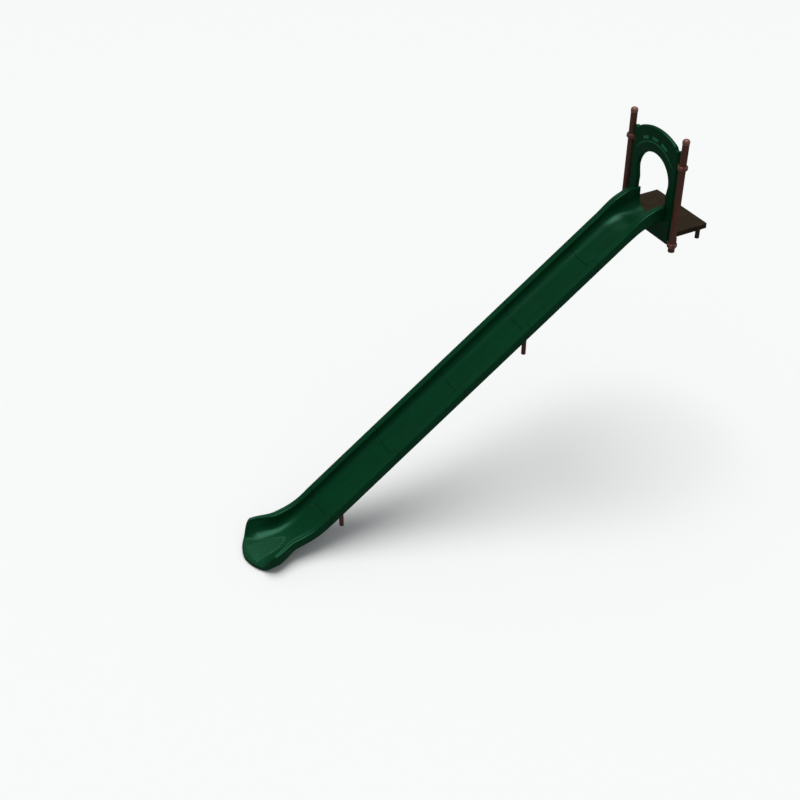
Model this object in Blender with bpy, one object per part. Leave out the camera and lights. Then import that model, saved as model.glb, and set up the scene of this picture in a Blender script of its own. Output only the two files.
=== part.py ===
"""A long straight slide for a grass bank: a half deck, an arch panel between two posts, a chute in six bolted
sections and the legs that carry it. Metres, +Z up, +X down the bank, +Y to the left of someone who slides down.
The origin lies midway between the two posts, where they leave the ground."""

import math

import bmesh
import bpy
from mathutils import Matrix, Vector

GAP = 0.0003  # clearance between pieces that touch

# Levels and the run of the chute's bed
DECK_TOP = 0.27
SLOPE = math.radians(34.7)
SLOPE_START_X = 0.43  # where the sloped bed line would meet the deck's level
ENTRY_BEND_R = 0.576
EXIT_SLOPE = math.radians(8.0)
EXIT_BEND_X = 5.27  # where the sloped bed line meets the run-out's line
EXIT_BEND_R = 1.264
FIRST_JOINT_X = 1.023
SECTION_LENGTH = 1.183  # along the slope
MIDDLE_SECTIONS = 4
NOSE_X = 5.72  # centre that the rounded exit lip is drawn from

# The chute's cross-section
WALL = 0.008
FLANGE_DEPTH = 0.034  # how far a joint flange stands below the bed
FLANGE_THICK = 0.010
RIM_INNER = 0.25
RIM_OUTER = 0.35
THROAT_OUTER = 0.2945  # the entry passes the panel's doorway at this half width
THROAT_INNER = 0.270
WALL_LEAN = 0.018  # how far a wall leans out between the bed's level and its rim
RIM_HEIGHT = 0.1235
ENTRY_RIM_HEIGHT = 0.29
EXIT_RIM_HEIGHT = 0.190
EXIT_HALF_WIDTH = 0.445
EXIT_WALL_FOOT = 0.265
EXIT_BED_HALF = 0.125
EXIT_LENGTH = 0.31  # how far the rounded lip reaches beyond its centre
LIP_POWER = 1.75  # 2 would make the lip's plan an ellipse
BED_HALF = 0.10  # the flat middle of the bed
FILLET = 0.095
SKIRT_DROP = 0.115
ENTRY_SKIRT_DROP = 0.20
EXIT_SKIRT_DROP = 0.15
ENTRY_LIP_DEPTH = 0.062
THROAT_CLEARANCE = 0.004

# Posts, panel and deck
POST_Y = 0.5334
POST_R = 0.04445
POST_WALL = 0.003
POST_TOP = DECK_TOP + 1.325
POST_FOOT = 0.0
PANEL_HALF_THICK = 0.038
PANEL_BODY_Y = 0.45
PANEL_EDGE_Y = 0.487
PANEL_FLANGE_HALF = 0.010
PANEL_FOOT = DECK_TOP - 0.215
CLAMP_LEVELS = {"upper": DECK_TOP + 0.933, "lower": DECK_TOP - 0.172}
CLAMP_HEIGHT = 0.058
CLAMP_BORE_R = (POST_R + GAP) / math.cos(math.radians(10.6))  # its flats clear the round post
CLAMP_BOLT_IN = 0.0735  # from the post's axis towards the panel
CLAMP_BOLT_OUT = -0.0562  # and on the far side
CLAMP_EAR_END = 0.0830
CLAMP_EAR_THICK = 0.008
CAP_OVERHANG = 0.0036
DECK_BACK_X = -0.549
DECK_FRONT_X = -PANEL_HALF_THICK - 2 * GAP
DECK_HALF_WIDTH = 0.533
DECK_DEPTH = 0.070
DECK_SHEET = 0.004
DECK_LEG_X = -0.454
DECK_LEG_Y = 0.480
DECK_LEG_FOOT = 0.055
LEG_R = 0.03015
LEG_WALL = 0.003

# Supports under the chute: how far up the slope from the joint, and how deep the legs reach
SUPPORT_PLACES = {"upper": (2, -0.046, 0.30), "lower": (5, 0.200, 0.275)}
SUPPORT_LEG_Y = 0.235
CROSSBAR_HALF_LENGTH = 0.285
CROSSBAR_HEIGHT = 0.030
CROSSBAR_WIDTH = 0.050

BOLT_R = 0.0045
BOLT_HEAD_R = 0.0080
BOLT_HEAD_H = 0.006
HOLE_R = 0.0052

for old in list(bpy.data.objects):
    bpy.data.objects.remove(old, do_unlink=True)


# ---------------------------------------------------------------- materials


def finish(name, color, roughness, metallic=0.0):
    """A plain finish; color is linear."""
    made = bpy.data.materials.new(name)
    made.use_nodes = True
    shader = made.node_tree.nodes["Principled BSDF"]
    shader.inputs["Base Color"].default_value = (*color, 1.0)
    shader.inputs["Roughness"].default_value = roughness
    shader.inputs["Metallic"].default_value = metallic
    made.diffuse_color = (*color, 1.0)
    return made


FINISHES = {
    "chute": ("green moulded polyethylene", (0.004, 0.12, 0.055), 0.38, 0.0),
    "panel": ("green moulded panel", (0.003, 0.10, 0.045), 0.42, 0.0),
    "post": ("brown powder coat", (0.11, 0.035, 0.022), 0.42, 0.0),
    "clamp": ("brown cast aluminium", (0.13, 0.042, 0.028), 0.36, 0.0),
    "deck": ("brown vinyl coat", (0.085, 0.047, 0.026), 0.62, 0.0),
    "bolt": ("zinc plated steel", (0.55, 0.55, 0.56), 0.32, 1.0),
}


# ---------------------------------------------------------------- making solids


def add_object(name, bm, kind, place=None):
    """Turns a bmesh into one named object, with its faces pointing out and a finish of its own."""
    bmesh.ops.remove_doubles(bm, verts=bm.verts, dist=1e-6)
    bmesh.ops.recalc_face_normals(bm, faces=bm.faces)
    mesh = bpy.data.meshes.new(name)
    bm.to_mesh(mesh)
    bm.free()
    label, color, roughness, metallic = FINISHES[kind]
    mesh.materials.append(finish(f"{name}, {label}", color, roughness, metallic))
    mesh.shade_smooth()
    mesh.set_sharp_from_angle(angle=math.radians(35))
    made = bpy.data.objects.new(name, mesh)
    if place is not None:
        made.matrix_world = place
    bpy.context.scene.collection.objects.link(made)
    return made


def cut(target, bm, name, operation="DIFFERENCE"):
    """Cuts the bmesh out of the target, or joins it on, with a Boolean that stays on the object."""
    bmesh.ops.recalc_face_normals(bm, faces=bm.faces)
    mesh = bpy.data.meshes.new(name)
    bm.to_mesh(mesh)
    bm.free()
    helper = bpy.data.objects.new(name, mesh)
    helper.hide_render = True
    helper.display_type = "WIRE"
    bpy.context.scene.collection.objects.link(helper)
    change = target.modifiers.new(name, "BOOLEAN")
    change.operation = operation
    change.solver = "EXACT"
    change.object = helper


def turned(bm, profile, steps=24):
    """Spins a closed profile of (radius, height) about Z."""
    ring = [bm.verts.new((radius, 0.0, height)) for radius, height in profile]
    edges = [bm.edges.new((ring[i - 1], ring[i])) for i in range(len(ring))]
    bmesh.ops.spin(
        bm, geom=ring + edges, cent=(0, 0, 0), axis=(0, 0, 1), angle=2 * math.pi, steps=steps
    )
    bmesh.ops.remove_doubles(bm, verts=bm.verts, dist=1e-6)
    return bm


def prism(bm, outline, low, high):
    """A prism over a plan outline of (x, y), from one height to the other."""
    loft(bm, [[(x, y, low) for x, y in outline], [(x, y, high) for x, y in outline]])
    return bm


def loft(bm, rings):
    """Joins closed rings of equal length, and closes both ends."""
    rows = [[bm.verts.new(point) for point in ring] for ring in rings]
    count = len(rows[0])
    for below, above in zip(rows, rows[1:]):
        for i in range(count):
            j = (i + 1) % count
            bm.faces.new((below[i], below[j], above[j], above[i]))
    bm.faces.new(rows[0][::-1])
    bm.faces.new(rows[-1])
    return bm


def rod(bm, start, end, radius, sides=8):
    """A straight round rod between two points."""
    start, end = Vector(start), Vector(end)
    turn = (end - start).to_track_quat("Z", "Y").to_matrix().to_4x4()
    bmesh.ops.create_cone(
        bm,
        cap_ends=True,
        segments=sides,
        radius1=radius,
        radius2=radius,
        depth=(end - start).length,
        matrix=Matrix.Translation((start + end) / 2) @ turn,
    )
    return bm


def add_bolt(name, start, end):
    """A bolt whose head bears at start and whose nut bears at end, as one turned solid."""
    start, end = Vector(start), Vector(end)
    grip = (end - start).length
    profile = [
        (0, -BOLT_HEAD_H),
        (0.6 * BOLT_HEAD_R, -BOLT_HEAD_H),
        (BOLT_HEAD_R, -0.5 * BOLT_HEAD_H),
        (BOLT_HEAD_R, -GAP),
        (BOLT_R, -GAP),
        (BOLT_R, grip + GAP),
        (0.9 * BOLT_HEAD_R, grip + GAP),
        (0.9 * BOLT_HEAD_R, grip + BOLT_HEAD_H),
        (0, grip + BOLT_HEAD_H),
    ]
    bm = turned(bmesh.new(), profile, 8)
    turn = (end - start).to_track_quat("Z", "Y").to_matrix().to_4x4()
    return add_object(name, bm, "bolt", Matrix.Translation(start) @ turn)


# ---------------------------------------------------------------- the chute's geometry


def smooth_step(value, low, high):
    """0 below low, 1 above high, and an even S between."""
    t = min(max((value - low) / (high - low), 0.0), 1.0)
    return t * t * (3 - 2 * t)


def mix(a, b, t):
    return a + (b - a) * t


def bed_height(x):
    """The straight sloped bed line, carried on in both directions."""
    return DECK_TOP - (x - SLOPE_START_X) * math.tan(SLOPE)


class Station:
    """A place on the bed's centre line: a point, and the directions along the run and square to the bed."""

    def __init__(self, x, z, pitch):
        self.point = Vector((x, 0.0, z))
        self.along = Vector((math.cos(pitch), 0.0, -math.sin(pitch)))
        self.normal = Vector((math.sin(pitch), 0.0, math.cos(pitch)))

    def place(self, side, outward, height):
        """A point given by its side (+1 or -1), its distance from the centre line and its height."""
        return self.point + Vector((0.0, side * outward, 0.0)) + self.normal * height

    def moved(self, distance):
        """The station this far along the run, on a straight stretch."""
        there = self.point + self.along * distance
        return Station(there.x, there.z, math.atan2(-self.along.z, self.along.x))


def half_section(bed, foot, fillet, inner, outer, rim, skirt):
    """Half of the chute's upper surface, from the edge of the flat bed outwards, as (distance, height): a parabola
    round the corner where wall and bed would meet, the wall, a rounded rim and the skirt outside it."""
    share = min(rim / RIM_HEIGHT, 1.0)
    inner_r = min(0.016 * share + 0.0005, 0.45 * (outer - inner))
    outer_r = min(0.022, 0.4 * (outer - inner))
    wall_y, wall_h = inner - foot, rim - inner_r
    reach = min(fillet / math.hypot(wall_y, wall_h), 0.8)
    points = [(bed, 0.0)]
    for t in (0.25, 0.5, 0.75, 1.0):
        y = bed * (1 - t) ** 2 + foot * 2 * t * (1 - t) + (foot + wall_y * reach) * t * t
        points.append((y, wall_h * reach * t * t))
    for angle in (math.pi, 0.75 * math.pi, 0.5 * math.pi):
        points.append((inner + inner_r * (1 + math.cos(angle)), rim - inner_r * (1 - math.sin(angle))))
    for angle in (0.5 * math.pi, 0.25 * math.pi, 0.0):
        points.append((outer - outer_r * (1 - math.cos(angle)), rim - outer_r * (1 - math.sin(angle))))
    points.append((outer + 0.004, rim - skirt))
    return points


# The share of a flange's extra depth at each point of a half section
FLANGE_SHARE = (1, 1, 1, 1, 1, 0.9, 0.3, 0, 0, 0, 0, 0)
ENTRY_LIP_SHARE = (1, 1, 0.8, 0.3, 0, 0, 0, 0, 0, 0, 0, 0)


def half_underside(points, depth, share=FLANGE_SHARE, wall=WALL):
    """The same half section moved inwards by the wall, or by the flange's depth below the bed and walls."""
    moved = []
    for i, (y, h) in enumerate(points):
        before = points[max(i - 1, 0)]
        after = points[min(i + 1, len(points) - 1)]
        dy, dh = after[0] - before[0], after[1] - before[1]
        length = math.hypot(dy, dh)
        normal = (dh / length, -dy / length) if i else (0.0, -1.0)
        thick = wall + (depth - wall) * share[i]
        moved.append((y + normal[0] * thick, h + normal[1] * thick))
    moved[-1] = (points[-1][0] - wall, points[-1][1])
    return moved


def shell(name, columns, free_edges=(0, -1)):
    """A chute section from its columns. Each column is (upper points, lower points), running across the section.
    free_edges are the ends of a column that need a wall between the two faces."""
    bm = bmesh.new()
    upper = [[bm.verts.new(point) for point in column[0]] for column in columns]
    lower = [[bm.verts.new(point) for point in column[1]] for column in columns]
    across = len(upper[0]) - 1
    for i in range(len(columns) - 1):
        for j in range(across):
            bm.faces.new((upper[i][j], upper[i][j + 1], upper[i + 1][j + 1], upper[i + 1][j]))
            bm.faces.new((lower[i][j], lower[i + 1][j], lower[i + 1][j + 1], lower[i][j + 1]))
        for j in free_edges:
            bm.faces.new((upper[i][j], upper[i + 1][j], lower[i + 1][j], lower[i][j]))
    for i in (0, -1):
        for j in range(across):
            bm.faces.new((upper[i][j], upper[i][j + 1], lower[i][j + 1], lower[i][j]))
    return add_object(name, bm, "chute")


def full_column(station, half, depth, share=FLANGE_SHARE):
    """Mirrors a half section to both sides of a station."""
    under = half_underside(half, depth, share)
    both = []
    for points in (half, under):
        left = [station.place(-1, y, h) for y, h in reversed(points)]
        right = [station.place(1, y, h) for y, h in points]
        both.append(left + right)
    return tuple(both)


def run_section():
    """The cross-section of the straight run."""
    foot = RIM_INNER - WALL_LEAN
    return half_section(BED_HALF, foot, FILLET, RIM_INNER, RIM_OUTER, RIM_HEIGHT, SKIRT_DROP)


def entry_section(sunk, inner, outer):
    """The cross-section of the entry: sunk is 0 at the doorway and 1 where it has become the run's."""
    bed, fillet = mix(0.05, BED_HALF, sunk), mix(0.14, FILLET, sunk)
    rim = mix(ENTRY_RIM_HEIGHT, RIM_HEIGHT, sunk)
    skirt = SKIRT_DROP if outer == THROAT_OUTER else mix(ENTRY_SKIRT_DROP, SKIRT_DROP, sunk)
    return half_section(bed, inner - WALL_LEAN, fillet, inner, outer, rim, skirt)


def joint_station(number):
    """The bed's centre at a joint between sections, the first one being 1."""
    x = FIRST_JOINT_X + (number - 1) * SECTION_LENGTH * math.cos(SLOPE)
    return Station(x, bed_height(x), SLOPE)


def flange_bolts(number):
    """The two bolt places of a joint, as points on the plane between its flanges."""
    station = joint_station(number)
    return [station.place(side, 0.105, -0.021) for side in (-1, 1)]


def drill_flanges(target, numbers):
    """Drills the bolt holes of the joints at a section's ends."""
    bm = bmesh.new()
    for number in numbers:
        along = joint_station(number).along
        for point in flange_bolts(number):
            rod(bm, point - along * 0.02, point + along * 0.02, HOLE_R)
    cut(target, bm, f"{target.name}_flange_holes")


def make_middle_sections():
    for number in range(1, MIDDLE_SECTIONS + 1):
        start = joint_station(number).moved(GAP / 2)
        length = SECTION_LENGTH - GAP
        half = run_section()
        columns = []
        for distance, depth in (
            (0, FLANGE_DEPTH),
            (FLANGE_THICK, FLANGE_DEPTH),
            (FLANGE_THICK + GAP, WALL),
            (length - FLANGE_THICK - GAP, WALL),
            (length - FLANGE_THICK, FLANGE_DEPTH),
            (length, FLANGE_DEPTH),
        ):
            columns.append(full_column(start.moved(distance), half, depth))
        made = shell(f"slide_middle_section_{number}", columns)
        drill_flanges(made, (number, number + 1))


def make_top_section():
    """Level through the doorway, then bent down to the slope, with walls that sink from hand height to the run's."""
    bend_start_x = SLOPE_START_X - ENTRY_BEND_R * math.tan(SLOPE / 2)
    stations = []
    front = PANEL_HALF_THICK + GAP
    for x, depth, outer in (
        (-PANEL_HALF_THICK, ENTRY_LIP_DEPTH, THROAT_OUTER),
        (-PANEL_HALF_THICK + FLANGE_THICK, ENTRY_LIP_DEPTH, THROAT_OUTER),
        (-PANEL_HALF_THICK + FLANGE_THICK + GAP, WALL, THROAT_OUTER),
        (front, WALL, THROAT_OUTER),
        (front + 0.002, WALL, RIM_OUTER),
        (0.12, WALL, RIM_OUTER),
        (0.19, WALL, RIM_OUTER),
    ):
        stations.append((Station(x, DECK_TOP, 0.0), x, depth, outer))
    steps = 8
    for step in range(steps + 1):
        pitch = SLOPE * step / steps
        x = bend_start_x + ENTRY_BEND_R * math.sin(pitch)
        z = DECK_TOP - ENTRY_BEND_R * (1 - math.cos(pitch))
        stations.append((Station(x, z, pitch), bend_start_x + ENTRY_BEND_R * pitch, WALL, RIM_OUTER))
    end = joint_station(1).moved(-GAP / 2)
    for back, depth in ((FLANGE_THICK + GAP, WALL), (FLANGE_THICK, FLANGE_DEPTH), (0, FLANGE_DEPTH)):
        stations.append((end.moved(-back), 1.0, depth, RIM_OUTER))
    columns = []
    for station, run, depth, outer in stations:
        inner = mix(THROAT_INNER, RIM_INNER, smooth_step(run, front, 0.24))
        half = entry_section(smooth_step(run, 0.10, 0.58), inner, outer)
        share = ENTRY_LIP_SHARE if outer == THROAT_OUTER else FLANGE_SHARE
        columns.append(full_column(station, half, depth, share))
    made = shell("slide_top_section", columns)
    drill_flanges(made, (1,))
    bm = bmesh.new()
    for x, y, z in entry_bolts():
        rod(bm, (x - 0.03, y, z), (x + 0.03, y, z), HOLE_R)
    cut(made, bm, "slide_top_section_entry_holes")


def entry_bolts():
    """Where the entry lip is bolted to the deck's front edge."""
    return [(-PANEL_HALF_THICK, y, DECK_TOP - 0.036) for y in (-0.045, 0.045)]


def make_exit_section():
    """Bent up from the slope to a nearly level run-out, flared, with a rounded lip. Its columns run from the centre
    line outwards, down one side, round the lip like the ribs of a fan, and up the other side."""
    bend = SLOPE - EXIT_SLOPE
    reach = EXIT_BEND_R * math.tan(bend / 2)
    start_x = EXIT_BEND_X - reach * math.cos(SLOPE)
    start = Station(start_x, bed_height(start_x), SLOPE)
    joint = joint_station(MIDDLE_SECTIONS + 1).moved(GAP / 2)
    side_stations = [
        (joint, FLANGE_DEPTH),
        (joint.moved(FLANGE_THICK), FLANGE_DEPTH),
        (joint.moved(FLANGE_THICK + GAP), WALL),
    ]
    centre = start.point + start.normal * EXIT_BEND_R
    steps = 7
    for step in range(steps + 1):
        pitch = SLOPE - bend * step / steps
        here = Station(0, 0, pitch)
        here.point = centre - here.normal * EXIT_BEND_R
        side_stations.append((here, WALL))
    run_out_z = bed_height(EXIT_BEND_X) - (NOSE_X - EXIT_BEND_X) * math.tan(EXIT_SLOPE)
    nose = Station(NOSE_X, run_out_z, EXIT_SLOPE)
    columns = []
    for station, depth in side_stations:
        columns.append(exit_column(station, math.pi / 2, depth))
    for step in range(0, 21):
        columns.append(exit_column(nose, math.pi / 2 * (1 - step / 20), WALL))
    far_side = []
    for upper, lower in reversed(columns[:-1]):
        far_side.append(tuple([Vector((p.x, -p.y, p.z)) for p in points] for points in (upper, lower)))
    made = shell("slide_exit_section", columns + far_side, free_edges=(-1,))
    drill_flanges(made, (MIDDLE_SECTIONS + 1,))


def exit_column(station, angle, depth):
    """A half section of the exit from the centre outwards. angle is 90 degrees square to the run, and 0 straight
    ahead at the lip."""
    x = station.point.x
    flare = smooth_step(x, 5.38, 5.76)
    ahead = 90 - math.degrees(angle)
    low, wide = smooth_step(ahead, 1, 31), smooth_step(ahead, 0, 48)
    rim = mix(mix(RIM_HEIGHT, EXIT_RIM_HEIGHT, smooth_step(x, 4.95, 5.50)), 0.004, low)
    width = mix(RIM_OUTER, EXIT_HALF_WIDTH, flare)
    outer = (math.sin(angle) / width) ** LIP_POWER + (max(math.cos(angle), 0.0) / EXIT_LENGTH) ** LIP_POWER
    outer = outer ** (-1 / LIP_POWER)
    inner = outer - mix(mix(RIM_OUTER - RIM_INNER, 0.060, flare), 0.034, low)
    foot = mix(mix(RIM_INNER - WALL_LEAN, EXIT_WALL_FOOT, flare), outer - 0.065, wide)
    bed = mix(mix(BED_HALF, EXIT_BED_HALF, flare), outer - 0.125, wide)
    skirt = mix(mix(SKIRT_DROP, EXIT_SKIRT_DROP, flare), 0.05, low)
    half = [(0.0, 0.0), *half_section(bed, foot, FILLET, inner, outer - 0.004, rim, skirt)]
    under = [(0.0, -depth), *half_underside(half[1:], depth)]
    lateral = Vector((0, math.sin(angle), 0)) + station.along * math.cos(angle)
    return tuple(
        [station.point + lateral * y + station.normal * h for y, h in points] for points in (half, under)
    )


def make_joint_bolts():
    reach = FLANGE_THICK + GAP / 2
    for number in range(1, MIDDLE_SECTIONS + 2):
        along = joint_station(number).along
        for side, point in zip(("right", "left"), flange_bolts(number)):
            add_bolt(f"joint_{number}_bolt_{side}", point - along * reach, point + along * reach)


# ---------------------------------------------------------------- supports under the chute


def add_leg(name, x, y, top, foot, pitch, kind="post"):
    """A round tube with an open foot, cut at the top along the piece above it, under a welded plate."""
    plate_half, plate_thick = 0.042, 0.006
    fall = math.tan(pitch)
    bm = bmesh.new()
    sides = 16
    rings = {}
    for label, radius in (("outer", LEG_R), ("inner", LEG_R - LEG_WALL)):
        around = [2 * math.pi * i / sides for i in range(sides)]
        spots = [(x + radius * math.cos(a), y + radius * math.sin(a)) for a in around]
        rings[label, "foot"] = [bm.verts.new((px, py, foot)) for px, py in spots]
        drop = top - plate_thick / math.cos(pitch) / 2
        rings[label, "top"] = [bm.verts.new((px, py, drop - (px - x) * fall)) for px, py in spots]
    for i in range(sides):
        j = (i + 1) % sides
        for label in ("outer", "inner"):
            low, high = rings[label, "foot"], rings[label, "top"]
            bm.faces.new((low[i], low[j], high[j], high[i]))
        for level in ("foot", "top"):
            out, inn = rings["outer", level], rings["inner", level]
            bm.faces.new((out[i], out[j], inn[j], inn[i]))
    made = add_object(name, bm, kind)
    station = Station(x, top, pitch)
    corners = ((-1, -1), (1, -1), (1, 1), (-1, 1))
    rows = []
    for height in (-plate_thick, 0.0):
        row = []
        for along, across in corners:
            spot = station.point + station.along * along * plate_half + station.normal * height
            row.append(spot + Vector((0, y + across * plate_half, 0)))
        rows.append(row)
    cut(made, loft(bmesh.new(), rows), f"{name}_plate", "UNION")
    return made


def make_supports():
    """A crossbar under the bed and two legs, at two places along the run."""
    for place, (joint, back, depth) in SUPPORT_PLACES.items():
        station = joint_station(joint).moved(-back)
        bm = bmesh.new()
        half_width = CROSSBAR_WIDTH / 2
        outline = []
        for along, height in (
            (-half_width, 0),
            (half_width, 0),
            (half_width, -CROSSBAR_HEIGHT),
            (-half_width, -CROSSBAR_HEIGHT),
        ):
            outline.append(station.along * along + station.normal * (height - WALL - GAP))
        ends = []
        for side in (-1, 1):
            reach = CROSSBAR_HALF_LENGTH
            ends.append([station.point + spot + Vector((0, side * reach, 0)) for spot in outline])
        add_object(f"{place}_support_crossbar", loft(bm, ends), "post")
        for side, word in ((-1, "right"), (1, "left")):
            below = station.point - station.normal * (WALL + CROSSBAR_HEIGHT + 2 * GAP)
            leg_y = side * SUPPORT_LEG_Y
            add_leg(
                f"{place}_support_leg_{word}", below.x, leg_y, below.z, station.point.z - depth, SLOPE
            )


# ---------------------------------------------------------------- posts, panel, clamps and deck


def make_posts():
    for side, word in ((-1, "right"), (1, "left")):
        tube_top = POST_TOP - 0.042
        tube = [
            (POST_R, POST_FOOT),
            (POST_R, tube_top),
            (POST_R - POST_WALL, tube_top),
            (POST_R - POST_WALL, POST_FOOT),
        ]
        place = Matrix.Translation((0, side * POST_Y, 0))
        add_object(f"post_{word}", turned(bmesh.new(), tube), "post", place)
        cap_r = POST_R + CAP_OVERHANG
        dome = []
        for step in range(6):
            angle = math.radians(18 * step)
            dome.append((cap_r * math.sin(angle), tube_top + 0.006 + 0.036 * math.cos(angle)))
        rest = [
            (cap_r, tube_top - 0.026),
            (POST_R + GAP, tube_top - 0.026),
            (POST_R + GAP, tube_top + GAP),
            (0, tube_top + GAP),
        ]
        add_object(f"post_cap_{word}", turned(bmesh.new(), dome + rest), "post", place)


def panel_outline():
    """The panel body's outer edge as (y, z), from the foot on the right, over the crown, to the foot on the left: an
    arched crown between two dips and level shoulders."""
    crown_z, crown_r, crown_y = DECK_TOP + 0.449, 0.786, 0.367
    right = [(-PANEL_BODY_Y, PANEL_FOOT), (-PANEL_BODY_Y, DECK_TOP + 1.118), (-0.435, DECK_TOP + 1.122)]
    right += [(-0.418, DECK_TOP + 1.108), (-0.398, DECK_TOP + 1.105), (-0.382, DECK_TOP + 1.122)]
    crown = []
    for step in range(11):
        y = -crown_y + 2 * crown_y * step / 10
        crown.append((y, crown_z + math.sqrt(crown_r**2 - y**2)))
    left = [(-y, z) for y, z in reversed(right)]
    return right + crown + left


def throat_outline(depth, share):
    """The outside of the chute's throat with some clearance as (y, z), from its right wall down and up to its left."""
    half = entry_section(0.0, THROAT_INNER, THROAT_OUTER)
    under = half_underside(half, depth + THROAT_CLEARANCE, share, WALL + THROAT_CLEARANCE)[:5]
    left = [(y, DECK_TOP + h) for y, h in under]
    return [(-y, z) for y, z in reversed(left)] + left


def doorway_outline():
    """The doorway as (y, z): below the rims it follows the chute's throat, above them it is a round arch that narrows
    a little at hand height."""
    arch_z, arch_r = DECK_TOP + 0.580, 0.318
    ledge = DECK_TOP + 0.168
    up = [(0.2765, ledge), (0.300, ledge), (0.300, DECK_TOP + 0.34), (0.292, DECK_TOP + 0.44)]
    up.append((0.308, DECK_TOP + 0.51))
    arch = []
    for step in range(13):
        angle = math.pi * step / 12
        arch.append((arch_r * math.cos(angle), arch_z + arch_r * math.sin(angle)))
    down = [(-y, z) for y, z in reversed(up)]
    return throat_outline(WALL, FLANGE_SHARE) + up + arch + down


def upright(bm, outline, back, front):
    """A prism over an outline of (y, z), from x = back to x = front."""
    return loft(bm, [[(x, y, z) for y, z in outline] for x in (back, front)])


def make_panel():
    body = upright(bmesh.new(), panel_outline(), -PANEL_HALF_THICK, PANEL_HALF_THICK)
    made = add_object("arch_panel", body, "panel")
    for side, word in ((-1, "right"), (1, "left")):
        shoulder = DECK_TOP + 1.112
        near, far = side * (PANEL_BODY_Y - 0.02), side * PANEL_EDGE_Y
        edge = [(near, PANEL_FOOT + 0.004), (far, PANEL_FOOT + 0.004), (far, shoulder), (near, shoulder)]
        wing = upright(bmesh.new(), edge, -PANEL_FLANGE_HALF, PANEL_FLANGE_HALF)
        cut(made, wing, f"arch_panel_side_flange_{word}", "UNION")
    opening = upright(bmesh.new(), doorway_outline(), -0.1, 0.1)
    cut(made, opening, "arch_panel_doorway")
    pocket_front = -PANEL_HALF_THICK + FLANGE_THICK + BOLT_HEAD_H + 0.002
    pocket = upright(bmesh.new(), throat_outline(ENTRY_LIP_DEPTH, ENTRY_LIP_SHARE), -0.1, pocket_front)
    cut(made, pocket, "arch_panel_lip_pocket")
    holes = bmesh.new()
    for level in CLAMP_LEVELS.values():
        for side in (-1, 1):
            y = side * (POST_Y - CLAMP_BOLT_IN)
            rod(holes, (-0.05, y, level), (0.05, y, level), HOLE_R)
    cut(made, holes, "arch_panel_clamp_holes")


def clamp_ring(outer_r):
    """Half a clamp in plan as (x, inwards): the bore, the ear beside the panel's flange, and the outside."""
    face = PANEL_FLANGE_HALF + GAP
    ear = face + CLAMP_EAR_THICK
    steps = 8
    bore = []
    last = math.acos(face / CLAMP_BORE_R)
    first = -math.acos(GAP / CLAMP_BORE_R)
    for step in range(steps + 1):
        angle = mix(first, last, step / steps)
        bore.append((CLAMP_BORE_R * math.cos(angle), CLAMP_BORE_R * math.sin(angle)))
    outside = []
    last = math.acos(ear / outer_r)
    first = -math.acos(GAP / outer_r)
    for step in range(steps + 1):
        angle = mix(last, first, step / steps)
        outside.append((outer_r * math.cos(angle), outer_r * math.sin(angle)))
    return bore + [(face, CLAMP_EAR_END), (ear, CLAMP_EAR_END)] + outside


def make_clamps():
    half = CLAMP_HEIGHT / 2
    steps = ((-half, 0.0600), (-half + 0.010, 0.0665), (half - 0.014, 0.0665), (half, 0.0535))
    for level_name, level in CLAMP_LEVELS.items():
        for side, word in ((-1, "right"), (1, "left")):
            for end, end_name in ((1, "front"), (-1, "back")):
                rings = []
                for height, outer_r in steps:
                    ring = []
                    for x, inward in clamp_ring(outer_r):
                        ring.append((end * x, side * (POST_Y - inward), level + height))
                    rings.append(ring)
                name = f"clamp_{level_name}_{word}_{end_name}"
                made = add_object(name, loft(bmesh.new(), rings), "clamp")
                holes = bmesh.new()
                y = side * (POST_Y - CLAMP_BOLT_IN)
                rod(holes, (-0.1, y, level), (0.1, y, level), HOLE_R)
                y = side * (POST_Y - CLAMP_BOLT_OUT)
                rod(holes, (0, y, level), (end * 0.022, y, level), HOLE_R)
                cut(made, holes, f"{name}_holes")
                pocket = rod(bmesh.new(), (end * 0.018, y, level), (end * 0.1, y, level), 0.0094)
                cut(made, pocket, f"{name}_pocket")
            ear = PANEL_FLANGE_HALF + GAP + CLAMP_EAR_THICK
            y = side * (POST_Y - CLAMP_BOLT_IN)
            add_bolt(f"clamp_{level_name}_{word}_inner_bolt", (ear, y, level), (-ear, y, level))
            y = side * (POST_Y - CLAMP_BOLT_OUT)
            add_bolt(f"clamp_{level_name}_{word}_outer_bolt", (0.018, y, level), (-0.018, y, level))


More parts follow.
